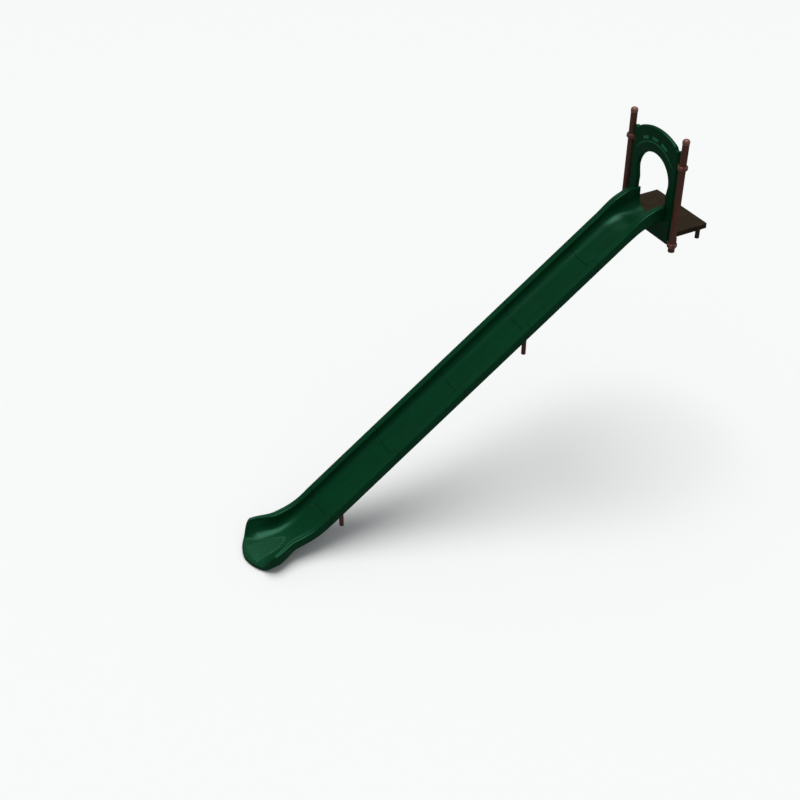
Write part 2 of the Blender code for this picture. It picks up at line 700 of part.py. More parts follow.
def make_deck():
    """A shallow steel tray, open below, with its front corners cut back round the posts."""
    notch_x, notch_y = -0.058, 0.478
    top = [
        (DECK_FRONT_X, -notch_y),
        (DECK_FRONT_X, notch_y),
        (notch_x, notch_y),
        (notch_x, DECK_HALF_WIDTH),
        (DECK_BACK_X + 0.012, DECK_HALF_WIDTH),
        (DECK_BACK_X, DECK_HALF_WIDTH - 0.012),
        (DECK_BACK_X, -DECK_HALF_WIDTH + 0.012),
        (DECK_BACK_X + 0.012, -DECK_HALF_WIDTH),
        (notch_x, -DECK_HALF_WIDTH),
        (notch_x, -notch_y),
    ]
    bm = prism(bmesh.new(), top, DECK_TOP - DECK_DEPTH, DECK_TOP)
    bmesh.ops.recalc_face_normals(bm, faces=bm.faces)
    under = [face for face in bm.faces if face.normal.z < -0.9]
    bmesh.ops.inset_region(bm, faces=under, thickness=DECK_SHEET, use_even_offset=True)
    bmesh.ops.translate(bm, verts=under[0].verts, vec=(0, 0, DECK_DEPTH - DECK_SHEET))
    made = add_object("deck_platform", bm, "deck")
    holes = bmesh.new()
    for x, y, z in entry_bolts():
        rod(holes, (x - 0.02, y, z), (x + 0.02, y, z), HOLE_R)
    cut(made, holes, "deck_platform_entry_holes")
    for side, (x, y, z) in zip(("right", "left"), entry_bolts()):
        add_bolt(f"entry_bolt_{side}", (x + FLANGE_THICK, y, z), (DECK_FRONT_X - DECK_SHEET, y, z))
    stiff = DECK_TOP - DECK_SHEET - GAP
    channel = [(-0.02, 0), (0.02, 0), (0.02, -0.04), (0.016, -0.04), (0.016, -0.004), (-0.016, -0.004)]
    channel += [(-0.016, -0.04), (-0.02, -0.04)]
    reach = DECK_HALF_WIDTH - DECK_SHEET - GAP
    ends = [[(-0.30 + x, y, stiff + z) for x, z in channel] for y in (-reach, reach)]
    add_object("deck_stiffener", loft(bmesh.new(), ends), "deck")
    for side, word in ((-1, "right"), (1, "left")):
        make_deck_leg(side, word)
        make_deck_saddle(side, word)


def make_deck_leg(side, word):
    """A round leg with an open foot under a round plate."""
    top = DECK_TOP - DECK_DEPTH - GAP
    plate_r, plate_thick = 0.048, 0.006
    profile = [
        (0, top),
        (plate_r, top),
        (plate_r, top - plate_thick),
        (LEG_R, top - plate_thick),
        (LEG_R, DECK_LEG_FOOT),
        (LEG_R - LEG_WALL, DECK_LEG_FOOT),
        (LEG_R - LEG_WALL, top - plate_thick),
        (0, top - plate_thick),
    ]
    place = Matrix.Translation((DECK_LEG_X, side * DECK_LEG_Y, 0))
    add_object(f"deck_leg_{word}", turned(bmesh.new(), profile, 16), "post", place)


def make_deck_saddle(side, word):
    """A saddle round the back of a post, with a shelf that the deck's edge rests on."""
    inner_r = (POST_R + GAP) / math.cos(math.radians(8.6))  # its flats clear the round post
    outer_r = POST_R + 0.008
    arc = []
    for radius, order in ((inner_r, range(9)), (outer_r, reversed(range(9)))):
        for step in order:
            angle = math.radians(112 + 136 * step / 8)
            arc.append((radius * math.cos(angle), side * POST_Y + radius * math.sin(angle)))
    top = DECK_TOP - DECK_DEPTH - GAP
    made = add_object(f"deck_saddle_{word}", prism(bmesh.new(), arc, top - 0.055, top), "clamp")
    near, far = side * (POST_Y - 0.055), side * (POST_Y - 0.012)
    shelf = [(-0.047, near), (-0.047, far), (-0.110, far), (-0.110, near)]
    cut(made, prism(bmesh.new(), shelf, top - 0.007, top), f"deck_saddle_{word}_shelf", "UNION")


def main():
    make_posts()
    make_panel()
    make_clamps()
    make_deck()
    make_top_section()
    make_middle_sections()
    make_exit_section()
    make_joint_bolts()
    make_supports()


main()
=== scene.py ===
"""The looks of a long straight slide for a grass bank: a half deck, an arch panel between two posts, and
a moulded chute in six bolted sections on legs. Metres, +Z up, +X down the bank; the origin lies midway
between the posts, where they leave the ground. Every surface is a numpy grid or a profile carried along a
path."""

import math

import bmesh
import bpy
import numpy as np
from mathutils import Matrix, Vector


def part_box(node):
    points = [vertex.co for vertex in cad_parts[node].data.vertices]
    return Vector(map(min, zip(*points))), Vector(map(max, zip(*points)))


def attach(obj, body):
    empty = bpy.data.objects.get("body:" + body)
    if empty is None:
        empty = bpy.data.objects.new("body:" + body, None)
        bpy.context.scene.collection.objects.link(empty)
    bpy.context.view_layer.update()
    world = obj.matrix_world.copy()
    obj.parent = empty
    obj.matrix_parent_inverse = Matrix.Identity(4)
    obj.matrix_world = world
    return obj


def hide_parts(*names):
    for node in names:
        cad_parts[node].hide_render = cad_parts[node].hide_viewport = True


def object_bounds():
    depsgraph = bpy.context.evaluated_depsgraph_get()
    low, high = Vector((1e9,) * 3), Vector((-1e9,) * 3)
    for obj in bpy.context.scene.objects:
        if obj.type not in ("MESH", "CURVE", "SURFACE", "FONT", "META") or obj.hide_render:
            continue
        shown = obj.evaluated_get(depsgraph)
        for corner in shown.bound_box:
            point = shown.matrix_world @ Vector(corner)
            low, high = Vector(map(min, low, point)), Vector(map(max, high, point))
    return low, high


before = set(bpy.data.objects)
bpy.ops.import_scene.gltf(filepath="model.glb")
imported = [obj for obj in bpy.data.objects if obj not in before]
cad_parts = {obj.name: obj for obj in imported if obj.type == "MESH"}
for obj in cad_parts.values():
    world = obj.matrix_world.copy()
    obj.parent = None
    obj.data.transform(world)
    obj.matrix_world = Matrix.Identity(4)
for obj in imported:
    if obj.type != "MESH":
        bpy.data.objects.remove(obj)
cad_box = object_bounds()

# ---------------------------------------------------------------- the frame's driving sizes

GAP = 0.0003
DECK_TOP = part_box("deck_platform")[1].z
SLOPE = math.radians(34.7)
SLOPE_START_X = 0.43
ENTRY_BEND_R = 0.576
EXIT_SLOPE = math.radians(8.0)
EXIT_BEND_X = 5.27
EXIT_BEND_R = 1.264
FIRST_JOINT_X = 1.023
SECTION_LENGTH = 1.183
MIDDLE_SECTIONS = 4
NOSE_X = 5.72
NOSE_LENGTH = 0.31
LIP_POWER = 1.75
WALL = 0.008
FLANGE_DEPTH = 0.034
FLANGE_THICK = 0.010
ENTRY_LIP_DEPTH = 0.062
RIM_INNER = 0.25
RIM_OUTER = 0.35
THROAT_OUTER = 0.2945
THROAT_INNER = 0.270
WALL_LEAN = 0.018
RIM_HEIGHT = 0.1235
ENTRY_RIM_HEIGHT = 0.29
EXIT_RIM_HEIGHT = 0.190
EXIT_HALF_WIDTH = 0.445
EXIT_WALL_FOOT = 0.265
EXIT_BED_HALF = 0.125
BED_HALF = 0.10
FILLET = 0.095
SKIRT_DROP = 0.115
ENTRY_SKIRT_DROP = 0.20
EXIT_SKIRT_DROP = 0.15
POST_Y = 0.5334
POST_R = 0.04445
POST_WALL = 0.003
PANEL_HALF_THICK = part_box("arch_panel")[1].x
PANEL_BODY_Y = 0.45
PANEL_EDGE_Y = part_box("arch_panel")[1].y
PANEL_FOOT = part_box("arch_panel")[0].z
PANEL_FLANGE_HALF = 0.010
CLAMP_LEVELS = {"upper": DECK_TOP + 0.933, "lower": DECK_TOP - 0.172}
CLAMP_HALF = 0.029
CLAMP_BOLT_IN = 0.0735
CLAMP_BOLT_OUT = -0.0562
CLAMP_EAR_END = 0.0830
CLAMP_EAR_THICK = 0.008
DECK_SHEET = 0.004
LEG_R = 0.03015
LEG_WALL = 0.003
RIB_COUNT = 8
RIB_HALF_SPREAD = 0.098
RIB_FAN = 0.185
PANEL_PADS = ((-30, -18), (-8.5, 4.5), (12.5, 27))
SUPPORT_PLACES = {"upper": (2, -0.046, 0.30), "lower": (5, 0.200, 0.275)}
BOLT_R = 0.0045
BOLT_HEAD_R = 0.0080
BOLT_HEAD_H = 0.006
END_STEPS = np.array([0, 0.0006, 0.0014, 0.0024, 0.0035, FLANGE_THICK, FLANGE_THICK + 0.0008])


# ---------------------------------------------------------------- colours and nodes


def linear(code):
    """An sRGB hex value as a linear colour with alpha."""
    parts = [int(code[i : i + 2], 16) / 255 for i in (1, 3, 5)]
    return (*[c / 12.92 if c <= 0.04045 else ((c + 0.055) / 1.055) ** 2.4 for c in parts], 1.0)


def add_node(material, kind, inputs=(), links=(), **settings):
    """Adds one node: inputs are (socket, value) pairs, links are (socket, output socket) pairs."""
    made = material.node_tree.nodes.new(kind)
    for name, value in settings.items():
        setattr(made, name, value)
    for name, value in inputs:
        made.inputs[name].default_value = value
    for name, output in links:
        material.node_tree.links.new(output, made.inputs[name])
    return made


def new_material(name, color, roughness, **constants):
    """A material with its Principled shader, and the object coordinates that its patterns are drawn in."""
    made = bpy.data.materials.new(name)
    made.use_nodes = True
    made.diffuse_color = linear(color)
    shader = made.node_tree.nodes["Principled BSDF"]
    shader.inputs["Base Color"].default_value = linear(color)
    shader.inputs["Roughness"].default_value = roughness
    for socket, value in constants.items():
        shader.inputs[socket.replace("_", " ")].default_value = value
    place = add_node(made, "ShaderNodeTexCoord").outputs["Object"]
    return made, shader, place


def noise(material, place, size_mm, detail=2.0, stretch=(1, 1, 1), rough=0.5):
    """Noise whose features are about size_mm across; stretch draws it out along an axis."""
    scaled = add_node(
        material, "ShaderNodeMapping", [("Scale", tuple(1 / s for s in stretch))], [("Vector", place)]
    )
    return add_node(
        material,
        "ShaderNodeTexNoise",
        [("Scale", 1000 / size_mm), ("Detail", detail), ("Roughness", rough)],
        [("Vector", scaled.outputs["Vector"])],
    ).outputs["Fac"]


def ramp(material, value, low, high, start, end):
    """Maps a value between low and high onto start to end, clamped."""
    return add_node(
        material,
        "ShaderNodeMapRange",
        [("From Min", low), ("From Max", high), ("To Min", start), ("To Max", end)],
        [("Value", value)],
    ).outputs["Result"]


def blend_colors(material, factor, first, second):
    """Mixes two colours, each a hex value or another node's colour output."""
    made = add_node(material, "ShaderNodeMix", [], [(0, factor)], data_type="RGBA")
    for socket, value in ((6, first), (7, second)):
        if isinstance(value, str):
            made.inputs[socket].default_value = linear(value)
        else:
            material.node_tree.links.new(value, made.inputs[socket])
    return made.outputs[2]


def bump(material, height, depth_mm, below=None):
    """A bump of this depth, on top of another bump if one is given."""
    links = [("Height", height)]
    if below is not None:
        links.append(("Normal", below))
    return add_node(material, "ShaderNodeBump", [("Distance", depth_mm / 1000)], links).outputs["Normal"]


def math_node(material, operation, first, second=0.0):
    """One sum: each input is a number or another node's output."""
    node = add_node(material, "ShaderNodeMath", operation=operation)
    for k, value in enumerate((first, second)):
        if isinstance(value, (int, float)):
            node.inputs[k].default_value = value
        else:
            material.node_tree.links.new(value, node.inputs[k])
    return node.outputs[0]


def window(material, value, low, high, soft):
    """1 where the value is between low and high, falling to 0 over soft on each side."""
    rise = ramp(material, value, low - soft, low, 0.0, 1.0)
    return math_node(material, "MULTIPLY", rise, ramp(material, value, high, high + soft, 1.0, 0.0))


def exit_ribs(material, place, low, high):
    """1 where the cosine of the exit's grip ribs passes from low to high, by the same fan as rib_height."""
    x, y, _ = add_node(material, "ShaderNodeSeparateXYZ", [], [("Vector", place)]).outputs
    run = math_node(material, "MAXIMUM", math_node(material, "SUBTRACT", x, 5.50), 0.0)
    spread = math_node(material, "ADD", math_node(material, "MULTIPLY", run, RIB_FAN), RIB_HALF_SPREAD)
    share = math_node(material, "DIVIDE", y, spread)
    turn = math_node(material, "COSINE", math_node(material, "MULTIPLY", share, RIB_COUNT * math.pi))
    line = ramp(material, turn, low, high, 0.0, 1.0)
    line = math_node(material, "MULTIPLY", line, window(material, share, -0.99, 0.99, 0.005))
    bow = math_node(material, "MULTIPLY", math_node(material, "MULTIPLY", y, y), 0.9)
    front = window(material, math_node(material, "ADD", x, bow), 5.0, 5.945, 0.025)
    bow = math_node(material, "MULTIPLY", math_node(material, "MULTIPLY", share, share), 0.16)
    back = window(material, math_node(material, "SUBTRACT", x, bow), 5.50, 7.0, 0.06)
    return math_node(material, "MULTIPLY", line, math_node(material, "MULTIPLY", front, back))


def rib_crests_painted_highlight(material, place):
    """Painted highlight along the ribs' tops."""
    return exit_ribs(material, place, -0.15, -0.85)


def rib_valleys_painted_shade(material, place):
    """Painted shade between the ribs."""
    return exit_ribs(material, place, -0.1, 0.6)


def joint_painted_shade(material, place):
    """1 in a narrow line across the run at each joint between two sections: painted shade for the shade in the
    seam.
    """
    x = add_node(material, "ShaderNodeSeparateXYZ", [], [("Vector", place)]).outputs[0]
    pitch = SECTION_LENGTH * math.cos(SLOPE)
    count = math_node(material, "DIVIDE", math_node(material, "SUBTRACT", x, FIRST_JOINT_X), pitch)
    nearest = math_node(material, "MINIMUM", math_node(material, "ROUND", count), MIDDLE_SECTIONS)
    nearest = math_node(material, "MAXIMUM", nearest, 0.0)
    away = math_node(material, "ABSOLUTE", math_node(material, "SUBTRACT", count, nearest))
    return ramp(material, away, 0.004, 0.008, 1.0, 0.0)


def panel_highlights(material, place):
    """1 on the panel's raised pads and along the edge of its raised band, on the front only."""
    x, y, z = add_node(material, "ShaderNodeSeparateXYZ", [], [("Vector", place)]).outputs
    up = math_node(material, "SUBTRACT", z, DECK_TOP + 0.582)
    sides = [math_node(material, "MULTIPLY", v, v) for v in (y, up)]
    radius = math_node(material, "SQRT", math_node(material, "ADD", *sides))
    turn = math_node(material, "ARCTAN2", y, up)
    total = window(material, radius, 0.452, 0.462, 0.004)
    total = math_node(material, "MULTIPLY", total, ramp(material, up, 0.22, 0.34, 0.0, 0.8))
    for start, end in PANEL_PADS:
        pad = window(material, turn, math.radians(start), math.radians(end), 0.01)
        pad = math_node(material, "MULTIPLY", pad, window(material, radius, 0.488, 0.526, 0.004))
        total = math_node(material, "MAXIMUM", total, pad)
    return math_node(material, "MULTIPLY", total, ramp(material, x, 0.0, 0.004, 0.0, 1.0))


def polyethylene(name, body, shade, light, along=(1, 1, 1), wear=0.0, shine=0.5, marks=()):
    """Rotomoulded HDPE, coloured through: a waxy sheen over the fine orange peel of a sand-cast mould,
    slow cloudy shade differences where the powder melted unevenly, and, where people slide, fine streaks
    along the run. Each of the marks is a function that says where it lies, a strength and a colour."""
    made, shader, place = new_material(name, body, 0.32, IOR=1.53, Specular_IOR_Level=shine)
    shader.inputs["Specular Tint"].default_value = (0.27, 0.95, 0.60, 1.0)
    link = made.node_tree.links.new
    cloud = ramp(made, noise(made, place, 420, 3.0), 0.3, 0.7, 0.0, 1.0)
    speck = ramp(made, noise(made, place, 9, 2.0), 0.35, 0.75, 0.0, 1.0)
    color = blend_colors(made, cloud, body, shade)
    color = blend_colors(made, ramp(made, speck, 0.0, 1.0, 0.0, 0.30), color, light)
    streak = ramp(made, noise(made, place, 22, 4.0, along, 0.65), 0.52, 0.78, 0.0, 1.0)
    color = blend_colors(made, ramp(made, streak, 0.0, 1.0, 0.0, wear), color, light)
    for where, strength, tone in marks:
        share = ramp(made, where(made, place), 0.0, 1.0, 0.0, strength)
        color = blend_colors(made, share, color, tone)
    link(color, shader.inputs["Base Color"])
    haze = [(0, ramp(made, cloud, 0.0, 1.0, 0.28, 0.36)), (1, ramp(made, streak, 0, 1, 0, 0.08))]
    link(add_node(made, "ShaderNodeMath", [], haze).outputs[0], shader.inputs["Roughness"])
    peel = bump(made, noise(made, place, 6, 1.0), 0.10)
    link(bump(made, noise(made, place, 160, 1.0), 0.9, peel), shader.inputs["Normal"])
    return made


def powder_coat(name, body, shade, roughness, grain_mm=2.2):
    """Polyester powder coat on steel: satin, with a close orange peel, slightly chalked in patches by the
    weather."""
    made, shader, place = new_material(name, body, roughness, IOR=1.5)
    link = made.node_tree.links.new
    chalk = ramp(made, noise(made, place, 130, 4.0), 0.4, 0.72, 0.0, 1.0)
    speck = ramp(made, noise(made, place, grain_mm * 1.5, 2.0), 0.4, 0.7, 0.0, 0.5)
    color = blend_colors(made, chalk, body, shade)
    link(blend_colors(made, speck, color, shade), shader.inputs["Base Color"])
    link(ramp(made, chalk, 0.0, 1.0, roughness - 0.04, roughness + 0.12), shader.inputs["Roughness"])
    link(bump(made, noise(made, place, grain_mm, 1.0), 0.09), shader.inputs["Normal"])
    return made


def vinyl_dip(name):
    """Soft PVC dip coat on steel sheet: matt, pebbled, dusty where shoes stand."""
    made, shader, place = new_material(name, "#2a1f0b", 0.66, IOR=1.5, Specular_IOR_Level=0.15)
    link = made.node_tree.links.new
    dust = ramp(made, noise(made, place, 150, 5.0, rough=0.6), 0.42, 0.7, 0.0, 1.0)
    grit = ramp(made, noise(made, place, 5, 3.0), 0.45, 0.68, 0.0, 0.6)
    color = blend_colors(made, dust, "#281d0a", "#33260f")
    link(blend_colors(made, grit, color, "#1f1a0e"), shader.inputs["Base Color"])
    link(ramp(made, dust, 0.0, 1.0, 0.52, 0.74), shader.inputs["Roughness"])
    link(bump(made, noise(made, place, 4, 2.0), 0.25), shader.inputs["Normal"])
    return made


def zinc_plate(name):
    """Zinc plated steel fasteners: a cool grey metal, slightly dulled."""
    made, shader, place = new_material(name, "#9a9da0", 0.34, Metallic=1.0)
    link = made.node_tree.links.new
    dull = ramp(made, noise(made, place, 7, 3.0), 0.35, 0.7, 0.0, 1.0)
    link(blend_colors(made, dull, "#a6a9ac", "#7d8084"), shader.inputs["Base Color"])
    link(ramp(made, dull, 0.0, 1.0, 0.26, 0.46), shader.inputs["Roughness"])
    return made


DOWNHILL = (12, 1, 12)
# The joint line and the rib valleys are painted shade; the rib crests are a painted highlight.
CHUTE_MARKS = [(joint_painted_shade, 0.65, "#001608"), (rib_valleys_painted_shade, 0.7, "#00260f"), (rib_crests_painted_highlight, 0.7, "#175a38")]
PANEL_MARKS = [(panel_highlights, 0.6, "#2f7d58")]
CHUTE = polyethylene(
    "moulded_green_polyethylene", "#003317", "#002d14", "#08482a", DOWNHILL, 0.35, 0.40, CHUTE_MARKS
)
PANEL = polyethylene(
    "moulded_green_polyethylene_panel", "#003217", "#002c13", "#054427", shine=0.25, marks=PANEL_MARKS
)
POST_COAT = powder_coat("brown_powder_coat_tube", "#512a19", "#5c311e", 0.40)
# The deck legs get a darker copy of the brown coat: painted shade for the shade under the deck.
LEG_COAT_PAINTED_SHADE = powder_coat("powder_coat_leg_painted_shade", "#31231c", "#3a2c24", 0.46)
# The caps get a lighter copy of the brown coat: painted highlight for the light on their domes.
CAP_COAT_PAINTED_HIGHLIGHT = powder_coat("brown_powder_coat_cap_painted_highlight", "#7a4c42", "#86584d", 0.32)
CAST_COAT = powder_coat("brown_powder_coat_casting", "#6c3c32", "#79473c", 0.34, 1.6)
DECK_COAT = vinyl_dip("brown_vinyl_dip_coat")
ZINC = zinc_plate("zinc_plated_steel")


# ---------------------------------------------------------------- making meshes


def grid_faces(rows, columns, loop_rows=False, loop_columns=False, start=0):
    """The quads of a grid whose points are numbered row by row."""
    r = np.arange(rows if loop_rows else rows - 1)[:, None]
    c = np.arange(columns if loop_columns else columns - 1)[None, :]
    r2, c2 = (r + 1) % rows, (c + 1) % columns
    quads = [r * columns + c, r * columns + c2, r2 * columns + c2, r2 * columns + c]
    return start + np.stack(np.broadcast_arrays(*quads), -1).reshape(-1, 4)


def add_piece(name, points, faces, material, nodes, sharp=40, weld=True):
    """Makes one shown piece from points and faces, with its doubles merged and its faces pointing out,
    and rides it on the body in place of the CAD nodes that it stands for."""
    mesh = bpy.data.meshes.new(name)
    mesh.from_pydata(np.asarray(points, float).reshape(-1, 3).tolist(), [], [f.tolist() for f in faces])
    made = bpy.data.objects.new(name, mesh)
    bpy.context.scene.collection.objects.link(made)
    if weld:
        bm = bmesh.new()
        bm.from_mesh(mesh)
        bmesh.ops.remove_doubles(bm, verts=bm.verts, dist=1e-6)
        bmesh.ops.dissolve_degenerate(bm, edges=bm.edges, dist=1e-7)
        bmesh.ops.recalc_face_normals(bm, faces=bm.faces)
        bm.to_mesh(mesh)
        bm.free()
    mesh.shade_smooth()
    mesh.set_sharp_from_angle(angle=math.radians(sharp))
    mesh.materials.append(material)
    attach(made, "root")
    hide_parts(*nodes)
    return made


def turned(profile, centre, steps=48):
    """A closed profile of (radius, height) carried round a vertical axis: points and faces."""
    profile = np.asarray(profile, float)
    angle = np.arange(steps) * 2 * np.pi / steps
    x = centre[0] + profile[:, 0][None] * np.cos(angle)[:, None]
    y = centre[1] + profile[:, 0][None] * np.sin(angle)[:, None]
    z = np.broadcast_to(profile[:, 1][None], x.shape)
    return np.stack([x, y, z], -1).reshape(-1, 3), grid_faces(steps, len(profile), True, True)


# ---------------------------------------------------------------- the chute


def smooth_step(value, low, high):
    """0 below low, 1 above high, and an even S between."""
    t = np.clip((np.asarray(value, float) - low) / (high - low), 0, 1)
    return t * t * (3 - 2 * t)


def mix(a, b, t):
    return a + (b - a) * t


def bed_height(x):
    """The straight sloped bed line, carried on in both directions."""
    return DECK_TOP - (x - SLOPE_START_X) * math.tan(SLOPE)


def half_section(bed, foot, fillet, inner, outer, rim, skirt, flats=40):
    """Half of the chute's upper surface at each station, from the centre outwards, as (distance, height):
    a flat bed, a parabola round the corner where wall and bed would meet, the wall, a rounded inner edge,
    a rim dished by 2 mm, a rounded outer edge and the skirt. Every argument is one number a station."""
    measures = np.broadcast_arrays(bed, foot, fillet, inner, outer, rim, skirt)
    bed, foot, fillet, inner, outer, rim, skirt = [np.asarray(v, float)[:, None] for v in measures]
    share = np.minimum(rim / RIM_HEIGHT, 1.0)
    inner_r = np.minimum(0.016 * share + 0.0005, 0.45 * (outer - inner))
    outer_r = np.minimum(0.022, 0.4 * (outer - inner))
    wall_y, wall_h = inner - foot, rim - inner_r
    reach = np.minimum(fillet / np.hypot(wall_y, wall_h), 0.8)
    flat = np.linspace(0, 1, flats)[None]
    bend = np.linspace(0, 1, 32)[None, 1:]
    straight = np.linspace(0, 1, 8)[None, 1:-1]
    inner_turn = np.linspace(np.pi, np.pi / 2, 10)[None]
    outer_turn = np.linspace(np.pi / 2, 0, 10)[None]
    fall = np.linspace(0, 1, 8)[None, 1:]
    corner_y = bed * (1 - bend) ** 2 + foot * 2 * bend * (1 - bend) + (foot + wall_y * reach) * bend**2
    pieces = [
        (bed * flat, 0 * bed * flat),
        (corner_y, wall_h * reach * bend**2),
        (foot + wall_y * mix(reach, 1, straight), wall_h * mix(reach, 1, straight)),
        (inner + inner_r * (1 + np.cos(inner_turn)), rim - inner_r * (1 - np.sin(inner_turn))),
        (
            mix(inner + inner_r, outer - outer_r, straight),
            rim - 0.002 * share * np.sin(np.pi * straight),
        ),
        (outer - outer_r * (1 - np.cos(outer_turn)), rim - outer_r * (1 - np.sin(outer_turn))),
        (outer + 0.004 * fall, mix(rim - outer_r, rim - skirt + 0.0042, fall)),
    ]
    y = np.concatenate([p[0] for p in pieces], 1)
    h = np.concatenate([p[1] for p in pieces], 1)
    return np.stack([y, h], -1)


def flange_share(section, entry=False):
    """How much of a flange's extra depth each point of a half section takes: all under the bed and walls,
    none under the rim. The entry's lip is deep under the bed only."""
    y = section[0, :, 0] / RIM_INNER
    if entry:
        return 1 - smooth_step(y, 0.50, 0.84)
    return 1 - smooth_step(y, 0.93, 1.04)


def underside(section, extra):
    """The half section moved square to itself by the wall, plus a flange's extra depth."""
    tangent = np.gradient(section, axis=1)
    tangent /= np.linalg.norm(tangent, axis=2, keepdims=True)
    normal = np.stack([tangent[..., 1], -tangent[..., 0]], -1)
    normal[:, 0] = (0, -1)
    return section + normal * (WALL + extra)[..., None]


def rounded_ends(top, under, edge_distance, radius=0.003):
    """Rounds the free ends of a shell: close to an end, both faces draw together along a quarter circle."""
    d = np.clip(radius - edge_distance, 0, radius)
    move = (radius - np.sqrt(radius**2 - d**2))[:, None, None]
    across = under - top
    across /= np.linalg.norm(across, axis=2, keepdims=True)
    return top + across * move, under - across * move


def close_skirt(top, under):
    """Joins the two faces round the skirt's lower edge with a half circle, at the outer end of every half
    section."""
    a, b = top[:, -1], under[:, -1]
    middle, half = (a + b) / 2, (a - b) / 2
    down = top[:, -1] - top[:, -2]
    down /= np.linalg.norm(down, axis=1, keepdims=True)
    size = np.linalg.norm(half, axis=1, keepdims=True)
    angle = np.linspace(0, np.pi, 7)[1:-1]
    turn = [middle + half * math.cos(t) + down * size * math.sin(t) for t in angle]
    return np.stack(turn, 1)


def loops_to_world(top, under, point, lateral, normal):
    """Half sections as closed strips in space: out along the top, round the skirt's edge and back
    underneath. point, lateral and normal are one vector a station."""
    turn = close_skirt(top, under)
    strip = np.concatenate([top, turn, under[:, ::-1]], 1)
    return point[:, None] + strip[..., :1] * lateral[:, None] + strip[..., 1:] * normal[:, None]


def station_frames(x, z, pitch):
    """Points on the centre line, and the directions along the run and square to the bed."""
    x, z, pitch = [np.asarray(v, float) for v in (x, z, pitch)]
    point = np.stack([x, 0 * x, z], -1)
    along = np.stack([np.cos(pitch), 0 * x, -np.sin(pitch)], -1)
    normal = np.stack([np.sin(pitch), 0 * x, np.cos(pitch)], -1)
    return point, along, normal


def end_spacing(length, count):
    """Distances from 0 to length, with close steps over the first and last few millimetres."""
    inside = np.linspace(END_STEPS[-1], length - END_STEPS[-1], count)[1:-1]
    return np.concatenate([END_STEPS, inside, length - END_STEPS[::-1]])


def mirrored_shell(strips):
    """A shell from its half strips on the +Y side and their mirror image, joined down the middle, ends
    closed."""
    stations, around = strips.shape[:2]
    other = strips * np.array([1, -1, 1])
    points = np.concatenate([strips.reshape(-1, 3), other.reshape(-1, 3)])
    faces = [grid_faces(stations, around, start=0), grid_faces(stations, around, start=stations * around)]
    return points, np.concatenate(faces), around


def end_caps(stations, around, upper, turn, offset):
    """Closes the first and last station of a half shell: quads between the top and the underside, and the
    skirt's rounded edge as a fan of quads and triangles."""
    faces = []
    for station in (0, stations - 1):
        base = offset + station * around
        for j in range(upper - 1):
            faces.append(np.array([base + j, base + j + 1, base + around - 2 - j, base + around - 1 - j]))
        edge = base + upper - 1 + np.arange(turn + 2)
        faces.append(edge)
    return faces


def add_shell(name, strips, upper, material, nodes):
    """One chute section from the half strips of its +Y side. upper is how many points the top face has."""
    points, quads, around = mirrored_shell(strips)
    stations = strips.shape[0]
    faces = list(quads)
    for offset in (0, stations * around):
        faces += end_caps(stations, around, upper, around - 2 * upper, offset)
    return add_piece(name, points, faces, material, nodes, sharp=50)


def make_middle_sections():
    """Four equal straight sections: one cross-section carried down the slope, flanged and rounded at both
    ends."""
    run = end_spacing(SECTION_LENGTH, 30)
    near_end = np.minimum(run, SECTION_LENGTH - run)
    foot = RIM_INNER - WALL_LEAN
    for number in range(1, MIDDLE_SECTIONS + 1):
        start = FIRST_JOINT_X + (number - 1) * SECTION_LENGTH * math.cos(SLOPE)
        x = start + run * math.cos(SLOPE)
        point, _, normal = station_frames(x, bed_height(x), np.full(len(run), SLOPE))
        rim = np.full(len(run), RIM_HEIGHT)
        top = half_section(BED_HALF, foot, FILLET, RIM_INNER, RIM_OUTER, rim, SKIRT_DROP)
        deep = (near_end <= FLANGE_THICK + 1e-6)[:, None] * flange_share(top)[None]
        under = underside(top, (FLANGE_DEPTH - WALL) * deep)
        top, under = rounded_ends(top, under, near_end)
        lateral = np.broadcast_to((0.0, 1.0, 0.0), point.shape)
        name = f"slide_middle_section_{number}"
        strips = loops_to_world(top, under, point, lateral, normal)
        add_shell(f"{name}_shell", strips, top.shape[1], CHUTE, [name])


